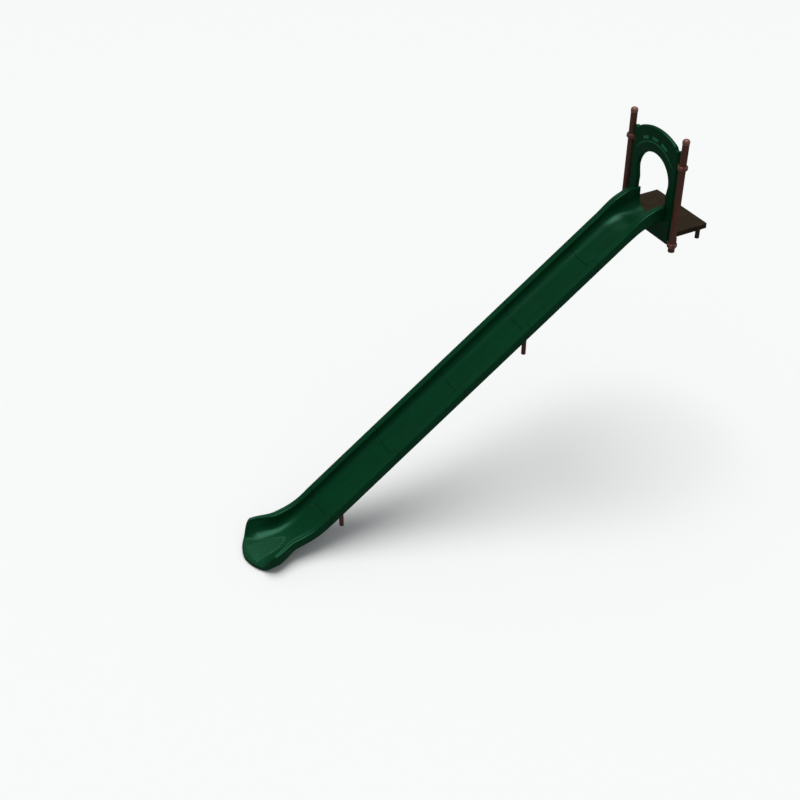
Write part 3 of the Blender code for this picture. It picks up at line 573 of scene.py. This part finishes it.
def make_top_section():
    """Level through the doorway, then a circular bend down to the slope. The walls sink and the bed
    widens along an even S from hand height to the run's own section; inside the doorway the rims are
    narrower."""
    bend_x = SLOPE_START_X - ENTRY_BEND_R * math.tan(SLOPE / 2)
    front = PANEL_HALF_THICK + GAP
    back = -PANEL_HALF_THICK
    lip = back + END_STEPS
    throat = np.linspace(lip[-1], front, 6)[1:]
    level_x = np.concatenate([lip, throat, np.linspace(front + 0.001, bend_x, 18)])
    pitch = np.linspace(0, SLOPE, 34)[1:]
    bend_x_all = bend_x + ENTRY_BEND_R * np.sin(pitch)
    bend_z = DECK_TOP - ENTRY_BEND_R * (1 - np.cos(pitch))
    left = (FIRST_JOINT_X - bend_x_all[-1]) / math.cos(SLOPE)
    slope_run = np.linspace(0, left - END_STEPS[-1], 14)[1:-1]
    slope_run = np.concatenate([slope_run, left - END_STEPS[::-1]])
    slope_x = bend_x_all[-1] + slope_run * math.cos(SLOPE)
    x = np.concatenate([level_x, bend_x_all, slope_x])
    z = np.concatenate([np.full(len(level_x), DECK_TOP), bend_z, bed_height(slope_x)])
    turn = np.concatenate([np.zeros(len(level_x)), pitch, np.full(len(slope_x), SLOPE)])
    bend_run = bend_x + ENTRY_BEND_R * pitch
    run = np.concatenate([level_x, bend_run, bend_run[-1] + slope_run])
    sunk = smooth_step(run, 0.10, 0.58)
    outer = np.where(x <= front + 1e-6, THROAT_OUTER, RIM_OUTER)
    rim = mix(ENTRY_RIM_HEIGHT, RIM_HEIGHT, sunk)
    bed, fillet = mix(0.05, BED_HALF, sunk), mix(0.14, FILLET, sunk)
    skirt = np.where(outer == RIM_OUTER, mix(ENTRY_SKIRT_DROP, SKIRT_DROP, sunk), SKIRT_DROP)
    inner = mix(THROAT_INNER, RIM_INNER, smooth_step(x, front, 0.24))
    top = half_section(bed, inner - WALL_LEAN, fillet, inner, outer, rim, skirt)
    from_end = run[-1] - run
    from_back = run - back
    deep = (from_end <= FLANGE_THICK + 1e-6)[:, None] * flange_share(top)[None] * (FLANGE_DEPTH - WALL)
    lip_deep = (from_back <= FLANGE_THICK + 1e-6)[:, None] * flange_share(top, True)[None]
    under = underside(top, deep + lip_deep * (ENTRY_LIP_DEPTH - WALL))
    top, under = rounded_ends(top, under, np.minimum(from_end, from_back))
    point, _, normal = station_frames(x, z, turn)
    lateral = np.broadcast_to((0.0, 1.0, 0.0), point.shape)
    strips = loops_to_world(top, under, point, lateral, normal)
    add_shell("slide_top_section_shell", strips, top.shape[1], CHUTE, ["slide_top_section"])


def rib_height(x, y):
    """The grip ribs on the exit's bed: a cosine across a fan that widens down the run, faded out at both
    ends."""
    spread = RIB_HALF_SPREAD + RIB_FAN * np.clip(x - 5.50, 0, 0.6)
    place = y / spread
    wave = 0.5 - 0.5 * np.cos(RIB_COUNT * np.pi * place)
    across = np.abs(place) < 1
    start = 5.42 + 0.16 * place**2
    reach = NOSE_X + (NOSE_LENGTH - 0.058) * np.sqrt(np.clip(1 - (y / (EXIT_HALF_WIDTH - 0.07)) ** 2, 0, 1))
    along = smooth_step(x, start, start + 0.10) * (1 - smooth_step(x, reach - 0.03, reach))
    return 0.010 * wave**2 * across * along


def make_exit_section():
    """A circular bend from the slope to a run-out of 8 degrees. Half strips run from the centre line
    outwards: square to the run down the side, then turning like the ribs of a fan round the lip, whose
    plan is a slightly pointed superellipse. The walls and rims fall to the lip's thin edge along an even
    S over its first 30 degrees."""
    bend = SLOPE - EXIT_SLOPE
    reach = EXIT_BEND_R * math.tan(bend / 2)
    bend_x = EXIT_BEND_X - reach * math.cos(SLOPE)
    start_x = FIRST_JOINT_X + MIDDLE_SECTIONS * SECTION_LENGTH * math.cos(SLOPE)
    straight = np.linspace(END_STEPS[-1], (bend_x - start_x) / math.cos(SLOPE), 6)[1:]
    slope_run = np.concatenate([END_STEPS, straight])
    slope_x = start_x + slope_run * math.cos(SLOPE)
    pitch = SLOPE - bend * np.linspace(0, 1, 60)[1:]
    centre_x = bend_x + EXIT_BEND_R * math.sin(SLOPE)
    centre_z = bed_height(bend_x) + EXIT_BEND_R * math.cos(SLOPE)
    bend_x_all = centre_x - EXIT_BEND_R * np.sin(pitch)
    bend_z = centre_z - EXIT_BEND_R * np.cos(pitch)
    level_x = np.linspace(bend_x_all[-1], NOSE_X, 34)[1:]
    fan = np.linspace(0, np.pi / 2, 150)[1:]
    x = np.concatenate([slope_x, bend_x_all, level_x, np.full(len(fan), NOSE_X)])
    level_z = bend_z[-1] - (level_x - bend_x_all[-1]) * math.tan(EXIT_SLOPE)
    z = np.concatenate([bed_height(slope_x), bend_z, level_z, np.full(len(fan), level_z[-1])])
    run_out = np.full(len(level_x) + len(fan), EXIT_SLOPE)
    turn = np.concatenate([np.full(len(slope_x), SLOPE), pitch, run_out])
    ahead = np.concatenate([np.zeros(len(x) - len(fan)), fan])
    point, along, normal = station_frames(x, z, turn)
    flare = smooth_step(x, 5.38, 5.76)
    low = smooth_step(np.degrees(ahead), 1, 31)
    wide = smooth_step(np.degrees(ahead), 0, 48)
    rim = mix(mix(RIM_HEIGHT, EXIT_RIM_HEIGHT, smooth_step(x, 4.95, 5.50)), 0.004, low)
    width = mix(RIM_OUTER, EXIT_HALF_WIDTH, flare)
    outer = (np.cos(ahead) / width) ** LIP_POWER + (np.sin(ahead) / NOSE_LENGTH) ** LIP_POWER
    outer = outer ** (-1 / LIP_POWER)
    inner = outer - mix(mix(RIM_OUTER - RIM_INNER, 0.060, flare), 0.034, low)
    foot = mix(mix(RIM_INNER - WALL_LEAN, EXIT_WALL_FOOT, flare), outer - 0.065, wide)
    bed = mix(mix(BED_HALF, EXIT_BED_HALF, flare), outer - 0.125, wide)
    skirt = mix(mix(SKIRT_DROP, EXIT_SKIRT_DROP, flare), 0.05, low)
    top = half_section(bed, foot, FILLET, inner, outer - 0.0043, rim, skirt, 110)
    run = np.concatenate([slope_run, np.full(len(x) - len(slope_run), 1.0)])
    deep = (run <= FLANGE_THICK + 1e-6)[:, None] * flange_share(top)[None] * (FLANGE_DEPTH - WALL)
    under = underside(top, deep)
    top, under = rounded_ends(top, under, run)
    lateral = np.stack([0 * ahead, np.cos(ahead), 0 * ahead], -1) + along * np.sin(ahead)[:, None]
    strips = loops_to_world(top, under, point, lateral, normal)
    upper = top.shape[1]
    face = strips[:, :upper]
    strips[:, :upper] += normal[:, None] * rib_height(face[..., 0], face[..., 1])[..., None]
    stations, around = strips.shape[:2]
    points, quads, around = mirrored_shell(strips)
    faces = list(quads)
    for offset in (0, stations * around):
        faces += end_caps(stations, around, upper, around - 2 * upper, offset)[:upper]
    add_piece("slide_exit_section_shell", points, faces, CHUTE, ["slide_exit_section"], sharp=50)


# ---------------------------------------------------------------- posts and caps


def make_posts():
    """Round tubes with open feet, and their domed caps, turned about the posts' axes."""
    for side, word in ((-1, "right"), (1, "left")):
        foot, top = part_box(f"post_{word}")[0].z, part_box(f"post_{word}")[1].z
        centre = (0.0, side * POST_Y)
        inner_r = POST_R - POST_WALL
        heights = np.linspace(foot, top, 30)
        tube = [(POST_R, z) for z in heights] + [(inner_r, z) for z in heights[::-1]]
        points, faces = turned(tube, centre, 64)
        name = f"post_{word}"
        add_piece(f"{name}_tube", points, faces, POST_COAT, [name])
        cap_r = POST_R + 0.0036
        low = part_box(f"post_cap_{word}")[0].z
        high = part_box(f"post_cap_{word}")[1].z
        spring = top + 0.006
        turn = np.linspace(0, np.pi / 2, 20)
        dome = [(cap_r * math.sin(a), spring + (high - spring) * math.cos(a)) for a in turn]
        skirt = [(cap_r, low + 0.003), (cap_r - 0.0008, low + 0.0008), (cap_r - 0.002, low)]
        inside = [(POST_R + GAP, low), (POST_R + GAP, top + GAP), (0, top + GAP)]
        points, faces = turned(dome + skirt + inside, centre, 64)
        name = f"post_cap_{word}"
        # lighter coat: painted highlight on the domes
        add_piece(f"{name}_dome", points, faces, CAP_COAT_PAINTED_HIGHLIGHT, [name])


# ---------------------------------------------------------------- solids from outlines


def rounded(corners, radius, steps=6):
    """A closed outline with every corner rounded by a parabola of this size, or of its own size for each
    corner."""
    corners = np.asarray(corners, float)
    sizes = np.broadcast_to(radius, len(corners))
    t = np.linspace(0, 1, steps)[:, None]
    points = []
    for before, corner, after, size in zip(np.roll(corners, 1, 0), corners, np.roll(corners, -1, 0), sizes):
        back, on = before - corner, after - corner
        start = corner + back * min(size / np.linalg.norm(back), 0.49)
        end = corner + on * min(size / np.linalg.norm(on), 0.49)
        points.append((1 - t) ** 2 * start + 2 * t * (1 - t) * corner + t**2 * end)
    return np.concatenate(points)


def inset(outline, distance):
    """Moves a closed outline that runs anticlockwise inwards, square to itself."""
    ahead = np.roll(outline, -1, 0) - outline
    behind = outline - np.roll(outline, 1, 0)
    tangent = ahead / np.maximum(np.linalg.norm(ahead, axis=1, keepdims=True), 1e-12)
    tangent += behind / np.maximum(np.linalg.norm(behind, axis=1, keepdims=True), 1e-12)
    tangent /= np.maximum(np.linalg.norm(tangent, axis=1, keepdims=True), 1e-12)
    return outline + distance * np.stack([-tangent[:, 1], tangent[:, 0]], -1)


def stacked(outline, rows):
    """A closed solid over an outline in the x-y plane: one ring for each (inset, height), capped at both
    ends."""
    rings = [np.column_stack([inset(outline, d), np.full(len(outline), h)]) for d, h in rows]
    return ring_solid(rings)


def ring_solid(rings):
    """Joins closed rings of equal length, and caps both ends."""
    count = len(rings[0])
    faces = list(grid_faces(len(rings), count, loop_columns=True))
    faces.append(np.arange(count)[::-1])
    faces.append((len(rings) - 1) * count + np.arange(count))
    return np.concatenate(rings), faces


def edge_rows(low, high, radius, steps=5):
    """Rows for a plain slab whose edges are rounded by a quarter circle."""
    angle = np.linspace(0, np.pi / 2, steps)
    move = [(radius * (1 - math.sin(a)), radius * (1 - math.cos(a))) for a in angle]
    return [(d, low + h) for d, h in move] + [(d, high - h) for d, h in reversed(move)]


def placed(solid, origin, right, up, ahead):
    """Carries a solid's x, y and z over to three directions at a point."""
    points, faces = solid
    axes = np.array([right, up, ahead], float)
    return points @ axes + np.asarray(origin, float), faces


def joined(*solids):
    """Several closed solids as one piece."""
    points, faces, start = [], [], 0
    for some, quads in solids:
        points.append(some)
        faces += [np.asarray(q) + start for q in quads]
        start += len(some)
    return np.concatenate(points), faces


def spun(profile, steps=40):
    """A closed profile of (radius, height) turned about the local z axis."""
    points, faces = turned(profile, (0, 0), steps)
    return points, list(faces)


# ---------------------------------------------------------------- arch panel


def panel_outline():
    """The panel body's edge as (y, z), anticlockwise: an arched crown between two dips and level
    shoulders."""
    crown_y, crown_r, crown_z = 0.367, 0.786, DECK_TOP + 0.449
    side = [(PANEL_BODY_Y, PANEL_FOOT), (PANEL_BODY_Y, DECK_TOP + 1.118), (0.433, DECK_TOP + 1.1205)]
    side += [(0.418, DECK_TOP + 1.106), (0.398, DECK_TOP + 1.103), (0.382, DECK_TOP + 1.120)]
    y = np.linspace(crown_y, -crown_y, 41)
    crown = np.stack([y, crown_z + np.sqrt(crown_r**2 - y**2)], -1)
    corners = np.concatenate([side, crown, [(-a, b) for a, b in reversed(side)]])
    sizes = np.full(len(corners), 0.010)
    sizes[[0, -1]] = 0.020
    return rounded(corners, sizes)


def doorway_outline():
    """The doorway as (y, z), anticlockwise: round the throat of the chute, then a round arch that narrows
    a little at hand height."""
    arch_z, arch_r, ledge = DECK_TOP + 0.580, 0.318, DECK_TOP + 0.168
    foot = THROAT_INNER - WALL_LEAN
    rim = ENTRY_RIM_HEIGHT
    throat = half_section([0.05], foot, 0.14, THROAT_INNER, THROAT_OUTER, rim, SKIRT_DROP)
    throat = underside(throat, 0.004 * np.ones(throat.shape[:2]))[0, :71:5]
    up = [(0.2765, ledge), (0.300, ledge), (0.300, DECK_TOP + 0.34), (0.292, DECK_TOP + 0.44)]
    up.append((0.308, DECK_TOP + 0.51))
    angle = np.linspace(0, np.pi / 2, 25)
    arch = np.stack([arch_r * np.cos(angle), arch_z + arch_r * np.sin(angle)], -1)
    half = np.concatenate([throat[1:] + (0, DECK_TOP), up, arch[:-1]])
    low = [(0.0, DECK_TOP + throat[0, 1])]
    other = half[::-1] * (-1, 1)
    corners = np.concatenate([low, half, [(0.0, arch_z + arch_r)], other])
    sizes = np.full(len(corners), 0.004)
    sizes[(corners[:, 1] > ledge + 0.1) & (corners[:, 1] < arch_z)] = 0.035
    return rounded(corners, sizes)


def ray_lengths(outline, centre, angle):
    """How far each ray from the centre runs to the outline."""
    around = outline - centre
    turn = np.arctan2(around[:, 1], around[:, 0])
    order = np.argsort(turn)
    turn, around = turn[order], around[order]
    turn = np.concatenate([turn[-1:] - 2 * np.pi, turn, turn[:1] + 2 * np.pi])
    around = np.concatenate([around[-1:], around, around[:1]])
    place = np.clip(np.searchsorted(turn, angle, side="right") - 1, 0, len(turn) - 2)
    a, b = around[place], around[place + 1]
    side = b - a
    apart = a[:, 0] * side[:, 1] - a[:, 1] * side[:, 0]
    return apart / (np.cos(angle) * side[:, 1] - np.sin(angle) * side[:, 0])


def panel_relief(y, z):
    """How far the front stands out: a raised band round the arch, three plain pads above it, and a small
    boss."""
    z = z - DECK_TOP - 0.582
    radius, turn = np.hypot(y, z), np.degrees(np.arctan2(y, z))
    band = (1 - smooth_step(radius, 0.450, 0.466)) * smooth_step(z, 0.26, 0.36)
    height = 0.009 * band
    for start, end in PANEL_PADS:
        along = smooth_step(turn, start, start + 1.2) * (1 - smooth_step(turn, end - 1.2, end))
        across = smooth_step(radius, 0.481, 0.491) * (1 - smooth_step(radius, 0.520, 0.535))
        height = height + 0.010 * along * across
    boss = np.hypot(y - 0.312, z - 0.356)
    return height + 0.010 * (1 - smooth_step(boss, 0.012, 0.027))


def panel_body():
    """The moulded body, as rays from a point in the doorway: each ray's loop runs over the front, round
    the outer edge, over the back and round the doorway's edge. Both edges are rounded by a quarter circle
    on each side."""
    centre = np.array([0.0, DECK_TOP + 0.45])
    outer_line, inner_line = panel_outline(), doorway_outline()
    corners = [np.arctan2(line[:, 1] - centre[1], line[:, 0]) for line in (outer_line, inner_line)]
    angle = np.unique(np.concatenate([np.linspace(-np.pi, np.pi, 720, endpoint=False), *corners]).round(6))
    inner, outer = ray_lengths(inner_line, centre, angle), ray_lengths(outer_line, centre, angle)
    face = PANEL_HALF_THICK - 0.012
    turn = np.linspace(0, np.pi / 2, 7)
    edge = 0.023
    share = np.linspace(0, 1, 60)[1:-1]
    front = [(0, edge * (1 - math.cos(a)), edge * (1 - math.sin(a))) for a in turn]
    front += [(t, edge * (1 - 2 * t), 0.0) for t in share]
    front += [(1, -edge * (1 - math.cos(a)), edge * (1 - math.sin(a))) for a in turn[::-1]]
    place = np.array(front)
    radius = inner[:, None] * (1 - place[:, 0]) + outer[:, None] * place[:, 0] + place[:, 1]
    y = centre[0] + radius * np.cos(angle)[:, None]
    z = centre[1] + radius * np.sin(angle)[:, None]
    fade = np.minimum(radius - inner[:, None], outer[:, None] - radius)
    x_front = face - place[:, 2] + panel_relief(y, z) * smooth_step(fade, 0.010, 0.023)
    x_back = -PANEL_HALF_THICK + place[:, 2] + 0 * y
    front_side = np.stack([x_front, y, z], -1)
    back_side = np.stack([x_back, y, z], -1)[:, ::-1]
    loop = np.concatenate([front_side, back_side], 1)
    return loop.reshape(-1, 3), list(grid_faces(*loop.shape[:2], True, True))


def make_panel():
    """The arch panel: its body, and the thin flange along each side that the clamps grip."""
    solids = [panel_body()]
    for side in (-1, 1):
        low, high = PANEL_FOOT + 0.004, DECK_TOP + 1.112
        corners = [(0.43, low), (PANEL_EDGE_Y, low), (PANEL_EDGE_Y, high), (0.43, high)]
        edge = rounded(corners, [0.001, 0.006, 0.014, 0.001])
        slab = stacked(edge, edge_rows(-PANEL_FLANGE_HALF, PANEL_FLANGE_HALF, 0.003))
        solids.append(placed(slab, (0, 0, 0), (0, side, 0), (0, 0, 1), (1, 0, 0)))
    points, faces = joined(*solids)
    add_piece("arch_panel_body", points, faces, PANEL, ["arch_panel"], sharp=50)


# ---------------------------------------------------------------- clamps, deck, legs and bolts


def clamp_outline(outer_r):
    """Half a clamp in plan as (forward, towards the panel): the bore, the ear beside the panel's flange,
    the outside and a flat for the outer bolt."""
    face = PANEL_FLANGE_HALF + GAP
    ear = face + CLAMP_EAR_THICK
    bore_r = POST_R + 0.001
    turn = np.linspace(-math.acos(0.0008 / bore_r), math.acos(face / bore_r), 25)
    bore = np.stack([bore_r * np.cos(turn), bore_r * np.sin(turn)], -1)
    tip = np.array([(face, CLAMP_EAR_END - 0.002), (face + 0.002, CLAMP_EAR_END), (ear - 0.003, CLAMP_EAR_END)])
    tip = np.concatenate([tip, [(ear, CLAMP_EAR_END - 0.003)]])
    turn = np.linspace(math.acos(ear / outer_r), -math.acos(0.0008 / outer_r), 33)
    outside = np.stack([outer_r * np.cos(turn), outer_r * np.sin(turn)], -1)
    flat = outside[:, 1] < CLAMP_BOLT_OUT + 0.011
    outside[flat, 0] = np.minimum(outside[flat, 0], 0.018)
    return np.concatenate([bore, tip, outside])


def make_clamps():
    """Cast half clamps: a bevelled foot, a barrel and a rounded shoulder that catches the light, stacked
    ring by ring, with a carriage bolt through the ears and another outside the post."""
    ear = PANEL_FLANGE_HALF + GAP + CLAMP_EAR_THICK
    t = np.linspace(0, 1, 9)
    rows = [(-CLAMP_HALF, 0.0585), (-CLAMP_HALF + 0.0015, 0.0600)]
    rows += [(-CLAMP_HALF + 0.010 * a, mix(0.0600, 0.0665, a**0.8)) for a in t[2:]]
    rows += [(mix(0.0, CLAMP_HALF - 0.016, a), 0.0665) for a in t[::4]]
    rows += [(mix(CLAMP_HALF - 0.014, CLAMP_HALF, a), 0.0665 - 0.013 * a**2) for a in t]
    for level_name, level in CLAMP_LEVELS.items():
        for side, word in ((-1, "right"), (1, "left")):
            for end, end_name in ((1, "front"), (-1, "back")):
                rings = []
                for height, outer_r in rows:
                    plan = clamp_outline(outer_r)
                    levels = np.full(len(plan), level + height)
                    rings.append(np.column_stack([end * plan[:, 0], side * (POST_Y - plan[:, 1]), levels]))
                name = f"clamp_{level_name}_{word}_{end_name}"
                points, faces = ring_solid(rings)
                add_piece(f"{name}_casting", points, faces, CAST_COAT, [name], sharp=45)
            name = f"clamp_{level_name}_{word}"
            y = side * (POST_Y - CLAMP_BOLT_IN)
            add_bolt(f"{name}_inner_bolt", (ear, y, level), (-ear, y, level))
            y = side * (POST_Y - CLAMP_BOLT_OUT)
            add_bolt(f"{name}_outer_bolt", (0.018, y, level), (-0.018, y, level))


def add_bolt(name, start, end):
    """A carriage bolt: a domed head at start, a shank, a washer and a chamfered hexagon nut at end."""
    start, end = np.asarray(start, float), np.asarray(end, float)
    grip = np.linalg.norm(end - start)
    ahead = (end - start) / grip
    right = np.cross(ahead, (0, 0, 1))
    if np.linalg.norm(right) < 0.1:
        right = np.cross(ahead, (0, 1, 0))
    right /= np.linalg.norm(right)
    up = np.cross(ahead, right)
    turn = np.linspace(0, np.pi / 2, 8)
    dome = [(BOLT_HEAD_R * math.sin(a), -GAP - 0.001 - (BOLT_HEAD_H - 0.0012) * math.cos(a)) for a in turn]
    shank = [(BOLT_HEAD_R, -GAP), (BOLT_R, -GAP), (BOLT_R, grip + BOLT_HEAD_H - 0.0006)]
    shank += [(BOLT_R - 0.0006, grip + BOLT_HEAD_H - 0.0001), (0, grip + BOLT_HEAD_H - 0.0001)]
    nut_r, nut, tip = 0.9 * BOLT_HEAD_R, grip + 0.0014, grip + BOLT_HEAD_H
    inside = BOLT_R - 0.001
    washer = [(inside, grip + GAP), (nut_r, grip + GAP), (nut_r, nut - 0.0001), (inside, nut - 0.0001)]
    hexagon = [(inside, nut), (nut_r - 0.0006, nut), (nut_r, nut + 0.0005), (nut_r, tip - 0.0014)]
    hexagon += [(nut_r - 0.0008, tip - 0.0008), (inside, tip - 0.0008)]
    whole = joined(spun(dome + shank, 32), spun(washer, 32), spun(hexagon, 6))
    points, faces = placed(whole, start, right, up, ahead)
    add_piece(f"{name}_steel", points, faces, ZINC, [name], sharp=35)


def make_deck():
    """A coated steel tray with a rounded top edge and notched front corners, and the channel that
    stiffens it."""
    low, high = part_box("deck_platform")
    front, back, half = high.x, low.x, high.y
    notch_x, notch_y = -0.058, 0.478
    corners = [(front, -notch_y), (front, notch_y), (notch_x, notch_y), (notch_x, half)]
    corners += [(back, half), (back, -half), (notch_x, -half), (notch_x, -notch_y)]
    plan = rounded(corners, [0.006, 0.006, 0.004, 0.006, 0.016, 0.016, 0.006, 0.004])
    turn = np.linspace(0, np.pi / 2, 7)
    rows = [(0.005 * (1 - math.sin(a)), DECK_TOP - 0.005 * (1 - math.cos(a))) for a in turn]
    rows += [(0, low.z + 0.001), (0.001, low.z), (DECK_SHEET - 0.001, low.z), (DECK_SHEET, low.z + 0.001)]
    rows += [(DECK_SHEET, DECK_TOP - DECK_SHEET - 0.002), (DECK_SHEET + 0.002, DECK_TOP - DECK_SHEET)]
    points, faces = stacked(plan, rows)
    add_piece("deck_platform_tray", points, faces, DECK_COAT, ["deck_platform"], sharp=40)
    low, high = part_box("deck_stiffener")
    x0, x1, z0, z1 = low.x, high.x, low.z, high.z
    wall = 0.004
    channel = [(x0, z0), (x0 + wall, z0), (x0 + wall, z1 - wall), (x1 - wall, z1 - wall)]
    channel = rounded(channel + [(x1 - wall, z0), (x1, z0), (x1, z1), (x0, z1)], 0.0012, 4)
    slab = stacked(channel, edge_rows(low.y, high.y, 0.0004, 3))
    points, faces = placed(slab, (0, 0, 0), (1, 0, 0), (0, 0, 1), (0, 1, 0))
    add_piece("deck_stiffener_channel", points, faces, DECK_COAT, ["deck_stiffener"])


def make_deck_legs():
    """Round legs with open feet under round plates, with a weld bead where they meet."""
    for word in ("right", "left"):
        low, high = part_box(f"deck_leg_{word}")
        centre = ((low.x + high.x) / 2, (low.y + high.y) / 2)
        plate_r, plate = (high.x - low.x) / 2, 0.006
        under = high.z - plate
        profile = [(0, high.z), (plate_r - 0.001, high.z), (plate_r, high.z - 0.001), (plate_r, under + 0.001)]
        profile += [(plate_r - 0.001, under), (LEG_R + 0.004, under)]
        turn = np.linspace(0, 1.5, 5)
        profile += [(LEG_R + 0.004 * (1 - math.sin(a)), under - 0.004 * (1 - math.cos(a))) for a in turn]
        profile += [(LEG_R, z) for z in np.linspace(under - 0.005, low.z + 0.0006, 12)]
        profile += [(LEG_R - 0.0006, low.z), (LEG_R - LEG_WALL, low.z), (LEG_R - LEG_WALL, under), (0, under)]
        points, faces = turned(profile, centre, 56)
        name = f"deck_leg_{word}"
        # darker coat: painted shade under the deck
        add_piece(f"{name}_tube", points, faces, LEG_COAT_PAINTED_SHADE, [name])


def make_deck_saddles():
    """Cast saddles round the backs of the posts, each with a shelf under the deck's edge."""
    for side, word in ((-1, "right"), (1, "left")):
        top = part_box(f"deck_saddle_{word}")[1].z
        inner_r, outer_r = POST_R + 0.0008, POST_R + 0.008
        turn = np.radians(np.linspace(112, 248, 40))
        outside = np.stack([outer_r * np.cos(turn), outer_r * np.sin(turn)], -1)
        inside = np.stack([inner_r * np.cos(turn), inner_r * np.sin(turn)], -1)[::-1]
        plan = np.concatenate([outside, inside])
        band = stacked(plan + (0, side * POST_Y), edge_rows(top - 0.055, top, 0.0015))
        ends = sorted((side * (POST_Y - 0.055), side * (POST_Y - 0.012)))
        corners = [(-0.110, ends[0]), (-0.047, ends[0]), (-0.047, ends[1]), (-0.110, ends[1])]
        shelf = rounded(corners, 0.004)
        points, faces = joined(band, stacked(shelf, edge_rows(top - 0.007, top, 0.0012)))
        name = f"deck_saddle_{word}"
        add_piece(f"{name}_casting", points, faces, CAST_COAT, [name])


def make_supports():
    """Under the bed at two places: a rounded crossbar, and two tubes with open feet under welded plates."""
    for place, (joint, back, depth) in SUPPORT_PLACES.items():
        x = FIRST_JOINT_X + ((joint - 1) * SECTION_LENGTH - back) * math.cos(SLOPE)
        point, along, normal = [v[0] for v in station_frames([x], [bed_height(x)], [SLOPE])]
        width, height, reach = 0.050, 0.030, 0.285
        bar = rounded([(-width / 2, -height), (width / 2, -height), (width / 2, 0), (-width / 2, 0)], 0.005)
        solid = stacked(bar, edge_rows(-reach, reach, 0.003))
        points, faces = placed(solid, point - normal * (WALL + GAP), along, normal, (0, 1, 0))
        name = f"{place}_support_crossbar"
        add_piece(f"{name}_bar", points, faces, POST_COAT, [name])
        below = point - normal * (WALL + height + 2 * GAP)
        for side, word in ((-1, "right"), (1, "left")):
            name = f"{place}_support_leg_{word}"
            y = side * 0.235
            plate = rounded([(-0.042, -0.042), (0.042, -0.042), (0.042, 0.042), (-0.042, 0.042)], 0.008)
            slab = stacked(plate, edge_rows(-0.006, 0, 0.001))
            top = placed(slab, below + (0, y, 0), along, (0, 1, 0), normal)
            tube = slanted_tube(below[0], y, below[2] - 0.003 / math.cos(SLOPE), point[2] - depth)
            points, faces = joined(top, tube)
            add_piece(f"{name}_tube", points, faces, POST_COAT, [name])


def slanted_tube(x, y, top, foot):
    """An upright tube, open at its foot, cut off along the slope at its top."""
    turn = np.arange(56) * 2 * np.pi / 56
    loops = []
    heights = np.linspace(0, 1, 12)
    for radius, order in ((LEG_R, heights), (LEG_R - LEG_WALL, heights[::-1])):
        dx, dy = radius * np.cos(turn), radius * np.sin(turn)
        for share in order:
            loops.append(np.stack([x + dx, y + dy, mix(foot, top - dx * math.tan(SLOPE), share)], -1))
    loop = np.array(loops)
    return loop.reshape(-1, 3), list(grid_faces(len(loops), 56, True, True))


def make_section_bolts():
    """The bolts through the joints' flanges and through the entry lip."""
    for number in range(1, MIDDLE_SECTIONS + 2):
        x = FIRST_JOINT_X + (number - 1) * SECTION_LENGTH * math.cos(SLOPE)
        point, along, normal = [v[0] for v in station_frames([x], [bed_height(x)], [SLOPE])]
        for side, word in ((-1, "right"), (1, "left")):
            spot = point + (0, side * 0.105, 0) - normal * 0.021
            reach = along * (FLANGE_THICK + GAP / 2)
            add_bolt(f"joint_{number}_bolt_{word}", spot - reach, spot + reach)
    for y, word in ((-0.045, "right"), (0.045, "left")):
        level = DECK_TOP - 0.036
        start = (-PANEL_HALF_THICK + FLANGE_THICK, y, level)
        add_bolt(f"entry_bolt_{word}", start, (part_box("deck_platform")[1].x - DECK_SHEET, y, level))


# ---------------------------------------------------------------- light, floor and camera


def make_stage():
    """A plain pale floor at the object's lowest level, under a sky whose light comes mostly from
    overhead."""
    low = cad_box[0][2]
    mesh = bpy.data.meshes.new("floor")
    size = 60.0
    corners = [(-size, -size, low), (size, -size, low), (size, size, low), (-size, size, low)]
    mesh.from_pydata(corners, [], [(0, 1, 2, 3)])
    floor = bpy.data.objects.new("floor", mesh)
    bpy.context.scene.collection.objects.link(floor)
    paint = new_material("pale_floor", "#eeeeec", 0.9)[0]
    mesh.materials.append(paint)
    floor.visible_diffuse = False  # so that the pale floor doesn't flood the undersides
    floor.visible_glossy = False
    sun = bpy.data.lights.new("key", "SUN")
    sun.energy = 2.2
    sun.angle = math.radians(47)
    lamp = bpy.data.objects.new("key", sun)
    lamp.rotation_euler = Vector((0.10, 0.12, -1.0)).to_track_quat("-Z", "Y").to_euler()
    bpy.context.scene.collection.objects.link(lamp)
    world = bpy.data.worlds.new("sky")
    bpy.context.scene.world = world
    world.use_nodes = True
    world.node_tree.nodes["Background"].inputs["Color"].default_value = (0.93, 0.96, 1.0, 1.0)
    path = world.node_tree.nodes.new("ShaderNodeLightPath")
    level = world.node_tree.nodes.new("ShaderNodeMapRange")
    level.inputs["To Min"].default_value = 0.45
    level.inputs["To Max"].default_value = 0.12  # the sheen sees a darker surround, as between trees and grass
    link = world.node_tree.links.new
    link(path.outputs["Is Glossy Ray"], level.inputs["Value"])
    link(level.outputs["Result"], world.node_tree.nodes["Background"].inputs["Strength"])


def make_camera():
    """A 60 mm lens on a 36 mm frame, from in front and to the left of the run."""
    lens = bpy.data.cameras.new("camera")
    lens.lens = 60.0
    lens.sensor_width = 36.0
    lens.clip_end = 200.0
    camera = bpy.data.objects.new("camera", lens)
    camera.location = (10.251, 12.106, 8.631 + DECK_TOP)
    camera.rotation_euler = Vector((-0.379, -0.703, -0.601)).to_track_quat("-Z", "Y").to_euler()
    bpy.context.scene.collection.objects.link(camera)
    bpy.context.scene.camera = camera


def main():
    make_top_section()
    make_middle_sections()
    make_exit_section()
    make_posts()
    make_panel()
    make_clamps()
    make_deck()
    make_deck_legs()
    make_deck_saddles()
    make_supports()
    make_section_bolts()
    make_stage()
    make_camera()
    bpy.context.scene.view_settings.view_transform = "Standard"


main()
